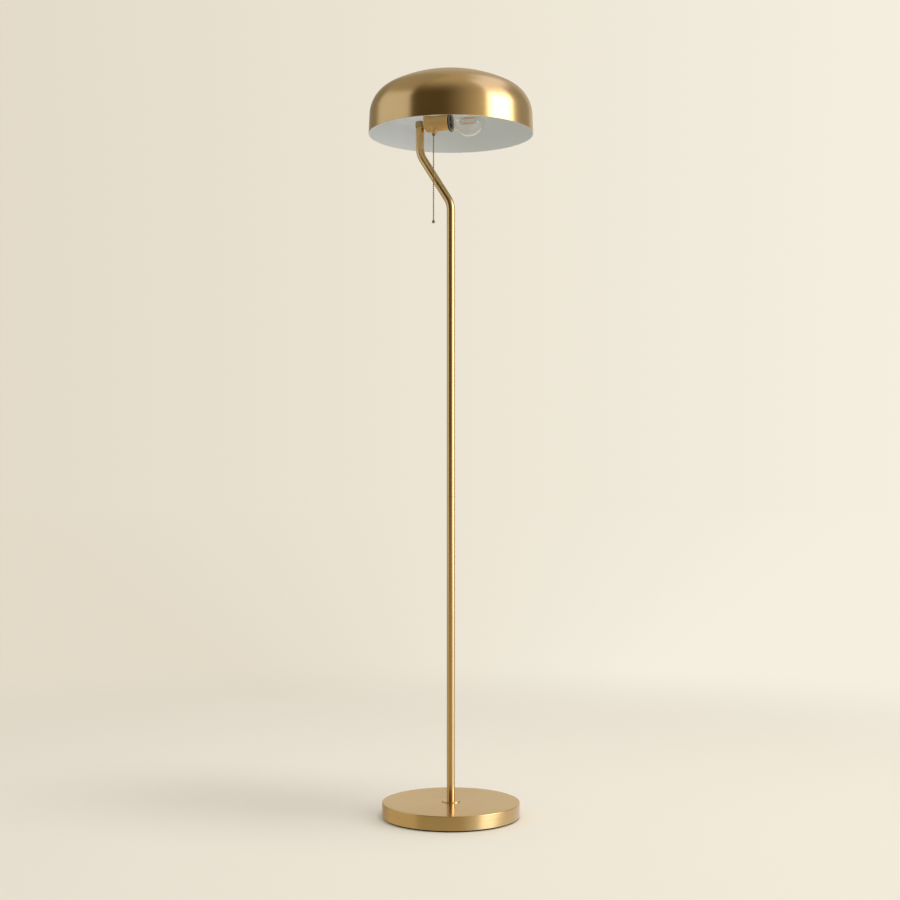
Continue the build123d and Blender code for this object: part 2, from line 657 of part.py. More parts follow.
def make_bulb():
    outer = glass_edges(0)
    inner = glass_edges(bulb_glass_skin)
    profile = [
        Line(outer[0], outer[1]), ThreePointArc(outer[1], outer[2], outer[3]),
        ThreePointArc(outer[3], outer[4], outer[5]), Line(outer[5], inner[5]),
        ThreePointArc(inner[5], inner[4], inner[3]), ThreePointArc(inner[3], inner[2], inner[1]),
        Line(inner[1], inner[0]), Line(inner[0], outer[0])]
    parts["bulb_glass"] = along_x(0, turned_edges(profile))

    thread = [(base_shell_root, base_shell_start)]
    for index in range(base_thread_crests):
        crest = base_shell_start + (index + 0.5) * base_thread_pitch
        thread += [(base_shell_radius, crest), (base_shell_root, crest + base_thread_pitch / 2)]
    collar_bore = bulb_neck_radius + press_fit
    collar = collar_bore + base_shell_skin
    glass_foot = base_shell_end - glass_seat
    shoulder = glass_foot - (collar - base_shell_root)
    lining = base_shell_root - base_shell_skin
    thread += [(base_shell_root, shoulder), (collar, glass_foot), (collar, base_shell_end),
               (collar_bore, base_shell_end), (collar_bore, glass_foot), (lining, shoulder),
               (lining, base_shell_start)]
    parts["bulb_base"] = along_x(0, turned(*thread))

    contact_top = contact_tip + contact_height
    parts["bulb_insulator"] = along_x(0, turned(
        (0, contact_top), (insulator_tip, contact_top), (insulator_root, base_shell_start - insulator_step),
        (base_shell_root, base_shell_start), (0, base_shell_start)))
    contact = turned(
        (0, 0), (contact_radius - contact_bevel, 0), (contact_radius, contact_height), (0, contact_height))
    parts["bulb_contact"] = along_x(contact_tip, contact)

    flare = bulb_neck_radius - bulb_glass_skin - press_fit
    stem = turned(
        (0, glass_foot), (flare, glass_foot), (flare, glass_foot + stem_foot),
        (2 * stem_radius, glass_foot + stem_flare), (stem_radius, glass_foot + 2 * stem_flare),
        (stem_radius, stem_end), (0, stem_end))
    parts["bulb_stem"] = along_x(0, stem)

    filaments = []
    filament_end = filament_start + filament_length
    lead_out = filament_start - (stem_end + support_wire)
    frame = rod(support_wire, filament_end + lead_out - stem_end, stem_end)
    for index in range(filament_count):
        around = Rot(0, 0, 45 + index * 360 / filament_count)
        strip = around * Pos(filament_circle, 0, filament_start) * rod(filament_radius, filament_length)
        filaments.append(along_x(0, strip))
        for post_z, spoke_z in ((filament_end, filament_end + lead_out),
                                (filament_start - lead_out, filament_start - lead_out)):
            post = Pos(filament_circle, 0, 0) * rod(support_wire, lead_out, post_z)
            spoke = Pos(0, 0, spoke_z) * Rot(0, 90, 0) * rod(support_wire, filament_circle + support_wire)
            frame += around * (post + spoke)
    parts["bulb_filaments"] = Compound(children=filaments)
    parts["filament_frame"] = along_x(0, frame)


make_base()
make_pole()
make_neck()
make_shade()
make_socket()
make_switch()
make_chain()
make_bulb()

os.makedirs("parts", exist_ok=True)
for name, shape in parts.items():
    export_step(shape, f"parts/{name}.step")
print(len(parts), "pieces")
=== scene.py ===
import json
import math

import bmesh
import bpy
from bpy.props import FloatProperty, IntProperty, PointerProperty, StringProperty
from mathutils import Matrix, Vector


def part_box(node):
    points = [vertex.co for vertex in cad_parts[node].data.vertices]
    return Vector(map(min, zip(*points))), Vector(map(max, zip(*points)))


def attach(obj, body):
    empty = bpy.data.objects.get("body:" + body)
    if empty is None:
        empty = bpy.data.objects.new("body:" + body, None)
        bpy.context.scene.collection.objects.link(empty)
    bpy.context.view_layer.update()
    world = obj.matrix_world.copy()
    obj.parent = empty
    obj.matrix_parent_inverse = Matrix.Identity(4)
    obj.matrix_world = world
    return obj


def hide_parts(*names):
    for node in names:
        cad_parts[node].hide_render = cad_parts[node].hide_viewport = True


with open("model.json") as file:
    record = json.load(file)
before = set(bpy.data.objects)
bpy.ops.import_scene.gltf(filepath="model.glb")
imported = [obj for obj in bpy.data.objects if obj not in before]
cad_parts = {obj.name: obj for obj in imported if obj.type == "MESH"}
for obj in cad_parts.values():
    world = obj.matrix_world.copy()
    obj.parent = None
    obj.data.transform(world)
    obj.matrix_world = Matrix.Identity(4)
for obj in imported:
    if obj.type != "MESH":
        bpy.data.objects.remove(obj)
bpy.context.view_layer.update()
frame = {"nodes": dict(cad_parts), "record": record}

bl_info = {
    "name": "Mushroom floor lamp",
    "version": (1, 0, 0),
    "blender": (4, 5, 0),
    "location": "View3D > Sidebar > Floor lamp",
    "description": "Dresses a brass mushroom floor lamp and sets its studio",
    "category": "Object",
}

MM = 0.001
PIPE_HOLE = 4.85 * MM  # radius of every hole that clears the threaded pipe
SHARP_ANGLE = math.radians(32)  # faces that meet at more than this show a hard edge
ON_AXIS = 1e-7  # a lathed point closer to the axis than this becomes a pole

# steps round a turned piece, by how large it shows
BROAD_STEPS = 256
DISC_STEPS = 192
BULB_STEPS = 160
SOCKET_STEPS = 128
TUBE_STEPS = 96
HORN_STEPS = 64
SMALL_STEPS = 48
LINK_STEPS = 16


# ------------------------------------------------------------ places read from the frame
def low(node, axis):
    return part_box(node)[0]["XYZ".index(axis)]


def high(node, axis):
    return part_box(node)[1]["XYZ".index(axis)]


def middle(node, axis):
    return (low(node, axis) + high(node, axis)) / 2


def half(node, axis):
    """Half of a node's width, which is the radius of a turned piece."""
    return (high(node, axis) - low(node, axis)) / 2


def ends(node, axis):
    return low(node, axis), high(node, axis)


SOCKET_Z = middle("bulb_contact", "Z")
SHADE_RIM = low("shade", "Z")
NECK_X = low("pole_upper", "X") + half("pole_lower", "X")


# ------------------------------------------------------------ what a user may change
def size(name, description, default):
    return FloatProperty(name=name, description=description, default=default, unit="LENGTH",
                         precision=5)


def tilt(name, description, degrees):
    return FloatProperty(name=name, description=description, default=math.radians(degrees),
                         subtype="ANGLE")


def colour(name, description, default):
    return StringProperty(name=name, description=description + ", as an sRGB hex value",
                          default=default)


class ShadeSizes(bpy.types.PropertyGroup):
    rim_radius: size("Rim radius", "Outer radius of the shade at its rim", half("shade", "X"))
    wall_radius: size("Wall radius", "Outer radius where the wall meets the shoulder", 158.7 * MM)
    wall_height: size("Wall height", "Height of the nearly upright wall", 38.0 * MM)
    shoulder: size("Shoulder radius", "Radius of the shoulder's arc in profile", 63.0 * MM)
    height: size("Height", "Height of the crown above the rim", 121.0 * MM)
    skin: size("Sheet", "Thickness of the spun sheet", 1.2 * MM)
    hole: size("Hole", "Radius of the hole for the nipple", PIPE_HOLE)


class BaseSizes(bpy.types.PropertyGroup):
    edge: size("Edge", "Rounding of the cover's upper edge", 1.2 * MM)
    skin: size("Sheet", "Thickness of the cover's sheet", 1.2 * MM)
    disc_edge: size("Disc edge", "Rounding of the foot disc", 0.6 * MM)


class PoleSizes(bpy.types.PropertyGroup):
    wall: size("Tube wall", "Wall of the pole's tube", 1.2 * MM)
    seam: size("Seam", "Chamfer on each tube end, which shows as a fine line", 0.35 * MM)
    knee: size("First knee", "Height of the first knee above the upper tube's foot", 189.5 * MM)
    rise: size("Rise", "Height between the two knees", 100.7 * MM)
    bend: size("Bend", "Centre-line radius of the bends", 45.0 * MM)


class SocketSizes(bpy.types.PropertyGroup):
    cap_rounding: size("Cap rounding", "Rounding of the cap's rear edge", 5.0 * MM)
    cap_skin: size("Cap sheet", "Thickness of the cap", 0.6 * MM)
    shell_skin: size("Barrel sheet", "Thickness of the barrel", 0.5 * MM)
    bell_tilt: tilt("Bell tilt", "Tilt of the chain's bell from straight down", 27.0)
    bell_skin: size("Bell sheet", "Thickness of the bell", 0.8 * MM)
    ribs: IntProperty(name="Ring ribs", description="Number of ribs round the insulating ring",
                      default=28, min=3)


class ChainSizes(bpy.types.PropertyGroup):
    ball: size("Ball", "Radius of a ball", 1.6 * MM)
    pitch: size("Pitch", "Distance from ball to ball", 4.1 * MM)
    link: size("Link", "Radius of the link between two balls", 0.3 * MM)
    slack_tilt: tilt("Slack tilt", "Lean of the chain inside the bell", 10.0)


class BulbSizes(bpy.types.PropertyGroup):
    radius: size("Bulb radius", "Radius of the glass", 30.0 * MM)
    neck: size("Neck radius", "Radius of the glass at its neck", 12.6 * MM)
    centre: size("Centre", "Centre of the round part along X", 37.7 * MM)
    glass: size("Glass", "Thickness of the glass", 0.9 * MM)
    thread_pitch: size("Thread pitch", "Pitch of the rolled thread", 3.629 * MM)


class LampColours(bpy.types.PropertyGroup):
    brass: colour("Brass", "Lacquered satin brass of the shade, pole and base", "#DEBC81")
    socket: colour("Socket brass", "Plain yellow brass of the socket", "#DDB77A")
    # the knuckle's brass is painted darker, as painted shade on the knuckle
    knuckle: colour("Knuckle", "Darker cast brass of the knuckle", "#B49C73")
    chain: colour("Chain", "Brass of the chain's beads", "#A08860")
    enamel: colour("Enamel", "White enamel inside the shade", "#DCE2E7")
    phenolic: colour("Phenolic", "Black moulded ring", "#15110E")
    # pale flecks on the ring's face are painted glints of light
    glint_fleck: colour("Flecks", "Pale wood flour in the ring's face", "#E6DED0")
    filament: colour("Filament", "Orange phosphor on the filament strips", "#E9BDA6")
    steel: colour("Steel", "Zinc plated steel", "#B9B6AE")
    floor: colour("Floor", "Pale floor", "#F0EADC")
    # the wall's two colours are painted light: darker on the left, lighter on the right where the
    # lamps stand
    shaded_wall_left: colour("Wall, left", "Pale wall at the left of the picture", "#E3DAC8")
    lit_wall_right: colour("Wall, right", "Pale wall at the right of the picture", "#F5EFE0")


GROUPS = {
    "lamp_shade": ShadeSizes, "lamp_base": BaseSizes, "lamp_pole": PoleSizes,
    "lamp_socket": SocketSizes, "lamp_chain": ChainSizes, "lamp_bulb": BulbSizes,
    "lamp_colours": LampColours,
}


# ------------------------------------------------------------ mesh helpers
def place_upright(x=0.0, y=0.0, z=0.0):
    return Matrix.Translation((x, y, z))


def place_level(x=0.0, y=0.0, z=None):
    """Lay a lathed outline on the socket's axis, its height running along +X."""
    height = SOCKET_Z if z is None else z
    return Matrix.Translation((x, y, height)) @ Matrix.Rotation(math.radians(90), 4, "Y")


def arc(centre, radius, start, end, steps=12):
    """Points on an arc, angles in degrees from the outline's outward axis."""
    angles = [math.radians(start + (end - start) * step / steps) for step in range(steps + 1)]
    return [(centre[0] + radius * math.cos(angle), centre[1] + radius * math.sin(angle))
            for angle in angles]


def turned_side(radius, foot, top, chamfer, rounding, steps=8):
    """The side of a disc or knob, from its chamfered foot to its rounded top edge."""
    return ([(radius - chamfer, foot), (radius, foot + chamfer)]
            + arc((radius - rounding, top - rounding), rounding, 0, 90, steps))


def ring(bm, steps, point):
    """A ring of vertices, where point gives the place for each angle."""
    return [bm.verts.new(point(2 * math.pi * step / steps)) for step in range(steps)]


def skin(bm, rings, closed=True, slots=None):
    """Faces from ring to ring. A ring of one vertex is a pole with a fan of faces."""
    for index in range(len(rings) if closed else len(rings) - 1):
        first, second = rings[index], rings[(index + 1) % len(rings)]
        steps = max(len(first), len(second))
        if steps == 1:
            continue
        for step in range(steps):
            after = (step + 1) % steps
            corners = [first[step % len(first)], first[after % len(first)],
                       second[after % len(second)], second[step % len(second)]]
            face = bm.faces.new(list(dict.fromkeys(corners)))
            if slots:
                face.material_index = slots[index]


def as_object(name, bm, *materials, place=None):
    """Put a mesh in the scene at the origin, its normals outward and its hard edges kept."""
    bmesh.ops.recalc_face_normals(bm, faces=bm.faces)
    if place:
        bmesh.ops.transform(bm, matrix=place, verts=bm.verts)
    mesh = bpy.data.meshes.new(name)
    bm.to_mesh(mesh)
    bm.free()
    for material in materials:
        mesh.materials.append(material)
    mesh.shade_smooth()
    mesh.set_sharp_from_angle(angle=SHARP_ANGLE)
    piece = bpy.data.objects.new(name, mesh)
    bpy.context.scene.collection.objects.link(piece)
    return piece


def lathe(name, outline, place, *materials, steps, closed=True, slots=None):
    """Turn an outline of (radius, height) points round its height, with a slot for each span."""
    bm = bmesh.new()
    rings = []
    for radius, height in outline:
        if radius < ON_AXIS:
            rings.append([bm.verts.new((0, 0, height))])
        else:
            rings.append(ring(bm, steps, lambda angle: (
                radius * math.cos(angle), radius * math.sin(angle), height)))
    skin(bm, rings, closed, slots)
    return as_object(name, bm, *materials, place=place)


def rod(name, radius, start, end, place, *materials, steps=SMALL_STEPS):
    """A plain round bar from start to end along its place's own axis."""
    outline = [(0, start), (radius, start), (radius, end), (0, end)]
    return lathe(name, outline, place, *materials, steps=steps)


def tube_along(name, path, radii, bore, *materials):
    """A tube along a path in the XZ plane, from rings square to the path."""
    bm = bmesh.new()
    side = Vector((0, 1, 0))

    def rings(ring_radii):
        made = []
        for index, (point, radius) in enumerate(zip(path, ring_radii)):
            before, after = path[max(index - 1, 0)], path[min(index + 1, len(path) - 1)]
            across = side.cross((after - before).normalized()).normalized()
            made.append(ring(bm, TUBE_STEPS, lambda angle: point + (
                across * math.cos(angle) + side * math.sin(angle)) * radius))
        return made

    outside = rings(radii)
    inside = rings([bore] * len(path))
    skin(bm, outside + inside[::-1])
    return as_object(name, bm, *materials)


def bake(piece):
    """Turn a piece with its modifiers into a plain mesh."""
    graph = bpy.context.evaluated_depsgraph_get()
    graph.update()
    mesh = bpy.data.meshes.new_from_object(piece.evaluated_get(graph))
    piece.modifiers.clear()
    piece.data = mesh
    mesh.set_sharp_from_angle(angle=SHARP_ANGLE)


def cut(piece, cutter):
    """Take a cutter's solid out of a piece, and leave the piece a plain mesh."""
    modifier = piece.modifiers.new("Cut", "BOOLEAN")
    modifier.operation = "DIFFERENCE"
    modifier.solver = "EXACT"
    modifier.object = cutter
    bake(piece)
    bpy.data.objects.remove(cutter)


def join(name, pieces):
    """Join pieces that are one casting or one moulding into one mesh."""
    with bpy.context.temp_override(active_object=pieces[0], selected_objects=pieces,
                                   selected_editable_objects=pieces):
        bpy.ops.object.join()
    pieces[0].name = name
    return pieces[0]


def stands_for(piece, body, slot, *nodes):
    """Make a finished piece ride on its body and stand for the nodes that it replaces."""
    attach(piece, body)
    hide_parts(*nodes)


# ------------------------------------------------------------ node helpers
def fill(tree, node, inputs):
    """Set a node's inputs to values, or link them to other nodes' outputs."""
    for key, value in inputs.items():
        if isinstance(value, bpy.types.NodeSocket):
            tree.links.new(value, node.inputs[key])
        else:
            node.inputs[key].default_value = value


def add(tree, kind, inputs=None, **settings):
    """Add a node to a tree, with its settings and its inputs."""
    node = tree.nodes.new(kind)
    for key, value in settings.items():
        setattr(node, key, value)
    fill(tree, node, inputs or {})
    return node


def maths(tree, operation, first, second):
    """One operation on two numbers or outputs."""
    return add(tree, "ShaderNodeMath", {0: first, 1: second},
               operation=operation).outputs["Value"]


def dot(tree, vector, direction):
    return add(tree, "ShaderNodeVectorMath", {0: vector, 1: direction},
               operation="DOT_PRODUCT").outputs["Value"]


def length(tree, vector):
    return add(tree, "ShaderNodeVectorMath", {0: vector}, operation="LENGTH").outputs["Value"]


def remap(tree, value, start, end, least=0.0, most=1.0, kind="LINEAR"):
    """Map a value between start and end to one between least and most."""
    return add(tree, "ShaderNodeMapRange", {
        "Value": value, "From Min": start, "From Max": end, "To Min": least, "To Max": most},
        interpolation_type=kind).outputs["Result"]


def upright(tree, height):
    return add(tree, "ShaderNodeCombineXYZ", {"Z": height}).outputs["Vector"]


def object_place(tree):
    return add(tree, "ShaderNodeTexCoord").outputs["Object"]


def cylindrical(tree, place):
    """Distance from the upright axis, and height."""
    parts = add(tree, "ShaderNodeSeparateXYZ", {"Vector": place}).outputs
    flat = add(tree, "ShaderNodeCombineXYZ", {"X": parts["X"], "Y": parts["Y"]})
    return length(tree, flat.outputs["Vector"]), parts["Z"]


def mix_colour(tree, factor, first, second):
    """Blend two colours: inputs 6 and 7 and output 2 are the Mix node's colour sockets."""
    return add(tree, "ShaderNodeMix", {0: factor, 6: first, 7: second},
               data_type="RGBA").outputs[2]


def new_tree(name, **sizes):
    """An empty geometry node tree with an input for each size, and its inputs' outputs."""
    tree = bpy.data.node_groups.new(name, "GeometryNodeTree")
    tree.interface.new_socket("Geometry", in_out="INPUT", socket_type="NodeSocketGeometry")
    for label, kind in sizes.items():
        tree.interface.new_socket(label, in_out="INPUT", socket_type="NodeSocket" + kind)
    tree.interface.new_socket("Geometry", in_out="OUTPUT", socket_type="NodeSocketGeometry")
    return tree, add(tree, "NodeGroupInput").outputs


def repeat(tree, points, mesh):
    """Put a mesh on each point."""
    return add(tree, "GeometryNodeInstanceOnPoints",
               {"Points": points.outputs["Mesh"], "Instance": mesh}).outputs["Instances"]


def close_tree(tree, *parts):
    """Join the repeated parts, make them real and smooth, and give them out."""
    joined = add(tree, "GeometryNodeJoinGeometry")
    for part in parts:
        tree.links.new(part, joined.inputs["Geometry"])
    real = add(tree, "GeometryNodeRealizeInstances", {"Geometry": joined.outputs["Geometry"]})
    smooth = add(tree, "GeometryNodeSetShadeSmooth", {"Geometry": real.outputs["Geometry"]})
    add(tree, "NodeGroupOutput", {"Geometry": smooth.outputs["Geometry"]})
    return tree


def grow(name, tree, values, material, place):
    """Run a geometry node tree with the given sizes and keep its result as a plain mesh."""
    piece = bpy.data.objects.new(name, bpy.data.meshes.new(name))
    bpy.context.scene.collection.objects.link(piece)
    modifier = piece.modifiers.new("Grow", "NODES")
    modifier.node_group = tree
    for socket in tree.interface.items_tree:
        if socket.in_out == "INPUT" and socket.name in values:
            modifier[socket.identifier] = values[socket.name]
    bake(piece)
    piece.data.materials.clear()
    piece.data.materials.append(material)
    piece.data.transform(place)
    return piece


def rib_tree():
    """Upright round ribs on a circle, for a knurled edge."""
    tree, given = new_tree("ribs", Count="Int", Circle="Float", Height="Float", Radius="Float")
    circle = add(tree, "GeometryNodeMeshCircle",
                 {"Vertices": given["Count"], "Radius": given["Circle"]})
    rib = add(tree, "GeometryNodeMeshCylinder",
              {"Vertices": 8, "Radius": given["Radius"], "Depth": given["Height"]})
    lift = upright(tree, maths(tree, "MULTIPLY", given["Height"], 0.5))
    raised = add(tree, "GeometryNodeTransform",
                 {"Geometry": rib.outputs["Mesh"], "Translation": lift})
    return close_tree(tree, repeat(tree, circle, raised.outputs["Geometry"]))


def chain_tree():
    """Balls on a plumb line at the chain's pitch, with a thin link between each two."""
    tree, given = new_tree("ball chain", Count="Int", Links="Int", Pitch="Float", Ball="Float",
                           Link="Float")
    step = upright(tree, maths(tree, "MULTIPLY", given["Pitch"], -1.0))
    between = upright(tree, maths(tree, "MULTIPLY", given["Pitch"], -0.5))
    balls_at = add(tree, "GeometryNodeMeshLine", {"Count": given["Count"], "Offset": step})
    links_at = add(tree, "GeometryNodeMeshLine",
                   {"Count": given["Links"], "Start Location": between, "Offset": step})
    ball = add(tree, "GeometryNodeMeshUVSphere",
               {"Segments": 20, "Rings": 12, "Radius": given["Ball"]})
    link = add(tree, "GeometryNodeMeshCylinder",
               {"Vertices": 10, "Radius": given["Link"], "Depth": given["Pitch"]})
    return close_tree(tree, repeat(tree, balls_at, ball.outputs["Mesh"]),
                      repeat(tree, links_at, link.outputs["Mesh"]))


# ------------------------------------------------------------ materials
def linear(hex_value):
    """The linear colour of an sRGB hex value."""
    channels = [int(hex_value[place:place + 2], 16) / 255 for place in (1, 3, 5)]
    return [c / 12.92 if c <= 0.04045 else ((c + 0.055) / 1.055) ** 2.4
            for c in channels] + [1.0]


def shade_of(hex_value, factor):
    return [channel * factor for channel in linear(hex_value)[:3]] + [1.0]


def new_material(name):
    material = bpy.data.materials.new(name)
    material.use_nodes = True
    return material, material.node_tree, material.node_tree.nodes["Principled BSDF"]


def noise(tree, place, size_mm, detail, roughness=0.5):
    """Noise with marks of about a size in millimetres."""
    return add(tree, "ShaderNodeTexNoise", {
        "Vector": place, "Scale": 1 / (size_mm * MM), "Detail": detail,
        "Roughness": roughness}).outputs["Fac"]


def two_tone(tree, factor, *stops):
    """A ramp between two (position, colour) stops."""
    ramp = add(tree, "ShaderNodeValToRGB", {"Fac": factor})
    for element, (position, value) in zip(ramp.color_ramp.elements, stops):
        element.position = position
        element.color = value
    return ramp.outputs["Color"]


def drift(tree, value, least, most):
    """Let a property drift with a noise, most of which lies between 0.3 and 0.7."""
    return remap(tree, value, 0.3, 0.7, least, most)


def bump(tree, height, strength, depth_mm):
    return add(tree, "ShaderNodeBump", {
        "Height": height, "Strength": strength, "Distance": depth_mm * MM}).outputs["Normal"]


def brass(name, hex_value, roughness, line_mm, cloud_mm, depth_mm, spun=False):
    """Brass with fine brushed lines and soft clouds of tone. On spun brass the lines run
    round the upright axis and draw the highlights out, and otherwise they run upright."""
    material, tree, shader = new_material(name)
    if spun:
        radius, height = cylindrical(tree, object_place(tree))
        lines_at = add(tree, "ShaderNodeCombineXYZ", {"X": radius, "Z": height})
    else:
        line_stretch = 25
        lines_at = add(tree, "ShaderNodeMapping",
                       {"Vector": object_place(tree), "Scale": (1, 1, 1 / line_stretch)})
    lines = noise(tree, lines_at.outputs["Vector"], line_mm, 3.0, 0.6)
    clouds = noise(tree, object_place(tree), cloud_mm, 4.0, 0.55)
    tone = two_tone(tree, clouds, (0.25, shade_of(hex_value, 0.95)),
                    (0.75, shade_of(hex_value, 1.03)))
    mixed = add(tree, "ShaderNodeVectorMath", {0: tone, "Scale": drift(tree, lines, 0.95, 1.03)},
                operation="SCALE")
    fill(tree, shader, {
        "Base Color": mixed.outputs["Vector"],
        "Roughness": drift(tree, lines, roughness * 0.92, roughness * 1.08),
        "Normal": bump(tree, lines, 0.3, depth_mm), "Metallic": 1.0})
    if spun:
        tangent = add(tree, "ShaderNodeTangent", direction_type="RADIAL", axis="Z")
        fill(tree, shader, {"Anisotropic": 0.5, "Anisotropic Rotation": 0.25,
                            "Tangent": tangent.outputs["Tangent"]})
    return material


def grained(name, hex_value, roughness, grain_mm, depth_mm, metallic=0.0, coat=0.0,
            spread=0.08):
    """A moulded, cast, plated or painted surface: its colour and gloss drift with a grain."""
    material, tree, shader = new_material(name)
    grain = noise(tree, object_place(tree), grain_mm, 4.0, 0.6)
    fill(tree, shader, {
        "Base Color": two_tone(tree, grain, (0.3, shade_of(hex_value, 1 - spread)),
                               (0.7, shade_of(hex_value, 1 + spread))),
        "Roughness": drift(tree, grain, roughness * 0.88, min(roughness * 1.12, 1.0)),
        "Normal": bump(tree, grain, 0.4, depth_mm), "Metallic": metallic, "Coat Weight": coat})
    return material


def glint_speckled(name, hex_value, glint_value, roughness, glint_mm):
    """A black phenolic moulding with pale flecks, which are painted glints of light on its face.
    """
    material, tree, shader = new_material(name)
    cells = noise(tree, object_place(tree), glint_mm, 2.0, 0.7)
    fill(tree, shader, {
        "Base Color": two_tone(tree, cells, (0.38, linear(hex_value)),
                               (0.48, linear(glint_value))),
        "Roughness": remap(tree, cells, 0.0, 1.0, roughness * 0.8, roughness * 1.2),
        "Normal": bump(tree, cells, 0.4, 0.05)})
    return material


def clear_glass(name):
    """Blown soda-lime glass: colourless, smooth, with the faint waves of blowing."""
    material, tree, shader = new_material(name)
    waves = noise(tree, object_place(tree), 18, 1.0)
    fill(tree, shader, {
        "Base Color": linear("#FBFBF7"), "Roughness": remap(tree, waves, 0.0, 1.0, 0.0, 0.02),
        "Normal": bump(tree, waves, 0.2, 0.2), "IOR": 1.5, "Transmission Weight": 1.0})
    return material


def make_materials():
    """Every finish, by the name of its slot or its piece. Pattern sizes are in millimetres."""
    colours = bpy.context.scene.lamp_colours
    return {
        # spun, brushed on the lathe and lacquered: shade, cover, disc and finial
        "satin_brass": brass("spun satin brass", colours.brass, 0.22, 1.6, 90, 0.004,
                             spun=True),
        # tube brushed lengthwise, with a higher gloss
        "tube_brass": brass("drawn satin brass tube", colours.brass, 0.2, 1.2, 60, 0.0003),
        # thin yellow sheet with no lacquer
        "socket_brass": brass("plain sheet brass", colours.socket, 0.42, 0.8, 20, 0.004),
        # darker copy of the brass for the casting, painted shade on the knuckle
        "shaded_knuckle_brass": brass("brushed brass casting", colours.knuckle, 0.36, 0.9, 12, 0.006),
        # beads rolled from strip, in a darker brass
        "chain_brass": brass("rolled brass beads", colours.chain, 0.25, 0.6, 5, 0.003),
        # sprayed and baked inside the shade
        "enamel": grained("white baked enamel", colours.enamel, 0.42, 3.0, 0.015, coat=0.25,
                          spread=0.012),
        # the ring's sides and ribs, and its face with pale flecks painted on as glints of light
        "black_phenolic": grained("moulded black phenolic", colours.phenolic, 0.36, 1.0, 0.03,
                                  spread=0.2),
        "ring_face": glint_speckled("flecked black phenolic", colours.phenolic, colours.glint_fleck, 0.36,
                             2.0),
        # pad and grommet
        "black_foam": grained("closed-cell foam pad", "#131211", 0.9, 1.2, 0.15, spread=0.3),
        "black_rubber": grained("moulded black rubber", "#191817", 0.6, 0.8, 0.03, spread=0.2),
        # hidden weight, fastenings, liner and contact
        "cast_iron": grained("painted cast iron", "#2A2927", 0.65, 2.4, 0.2, spread=0.2),
        "plated_steel": grained("zinc plated steel", colours.steel, 0.32, 1.5, 0.01,
                                metallic=1.0),
        "fibre_liner": grained("pressed fibre liner", "#6B5138", 0.8, 0.9, 0.05, spread=0.25),
        "solder": grained("tinned contact", "#B4B3B0", 0.4, 1.0, 0.05, metallic=1.0),
        # bulb
        "filament_coat": grained("phosphor coated filament", colours.filament, 0.55, 0.6, 0.03),
        "clear_glass": clear_glass("clear blown glass"),
    }


materials = {}


# ------------------------------------------------------------ one operator for each group
class LAMP_OT_materials(bpy.types.Operator):
    """Make the finishes and give each carried-over CAD node the one of its slot"""
    bl_idname = "lamp.materials"
    bl_label = "Finishes"

    def execute(self, context):
        materials.update(make_materials())
        for part in frame["record"]["subparts"]:
            node = frame["nodes"][part["node"]]
            node.data.materials.clear()
            node.data.materials.append(materials[part["material_slot"]])
        return {"FINISHED"}


class LAMP_OT_shade(bpy.types.Operator):
    """Spin the brass shade with its white enamel lining"""
    bl_idname = "lamp.shade"
    bl_label = "Shade"

    def execute(self, context):
        sizes = context.scene.lamp_shade
        outer, inner = self.profile(sizes, 0.0), self.profile(sizes, sizes.skin)
        lip = sizes.skin * 0.3
        rim = [(inner[0][0] + lip, 0.0), (outer[0][0] - lip, 0.0), (outer[0][0], lip)]
        outline = rim + outer[1:] + inner[1:][::-1] + [(inner[0][0], lip)]
        brass_slot, enamel_slot = 0, 1
        slots = ([enamel_slot] + [brass_slot] * (len(rim) + len(outer) - 2)
                 + [enamel_slot] * len(inner))
        shade = lathe("shade_skin", outline, place_upright(z=SHADE_RIM),
                      materials["satin_brass"], materials["enamel"], steps=BROAD_STEPS,
                      slots=slots)
        stands_for(shade, "lamp", "satin_brass", "shade")
        return {"FINISHED"}

    def profile(self, sizes, inset):
        """Wall, shoulder and crown, each tangent to the next, from the rim to the hole."""
        lean = math.atan2(sizes.rim_radius - sizes.wall_radius, sizes.wall_height)
        shoulder_x = sizes.wall_radius - sizes.shoulder * math.cos(lean)
        shoulder_z = sizes.wall_height - sizes.shoulder * math.sin(lean)
        # the crown's arc runs through the top and touches the shoulder's arc from outside
        fall = sizes.height - shoulder_z
        crown = ((shoulder_x ** 2 + fall ** 2 - sizes.shoulder ** 2)
                 / (2 * (fall - sizes.shoulder)))
        crown_z = sizes.height - crown
        turn = math.degrees(math.atan2(shoulder_z - crown_z, shoulder_x))
        hole = math.degrees(math.acos(sizes.hole / (crown - inset)))
        shoulder = arc((shoulder_x, shoulder_z), sizes.shoulder - inset, math.degrees(lean),
                       turn, 36)
        wall_x = shoulder[0][0] + shoulder[0][1] * math.tan(lean)
        return ([(wall_x, 0.0)] + shoulder
                + arc((0, crown_z), crown - inset, turn, hole, 40)[1:])


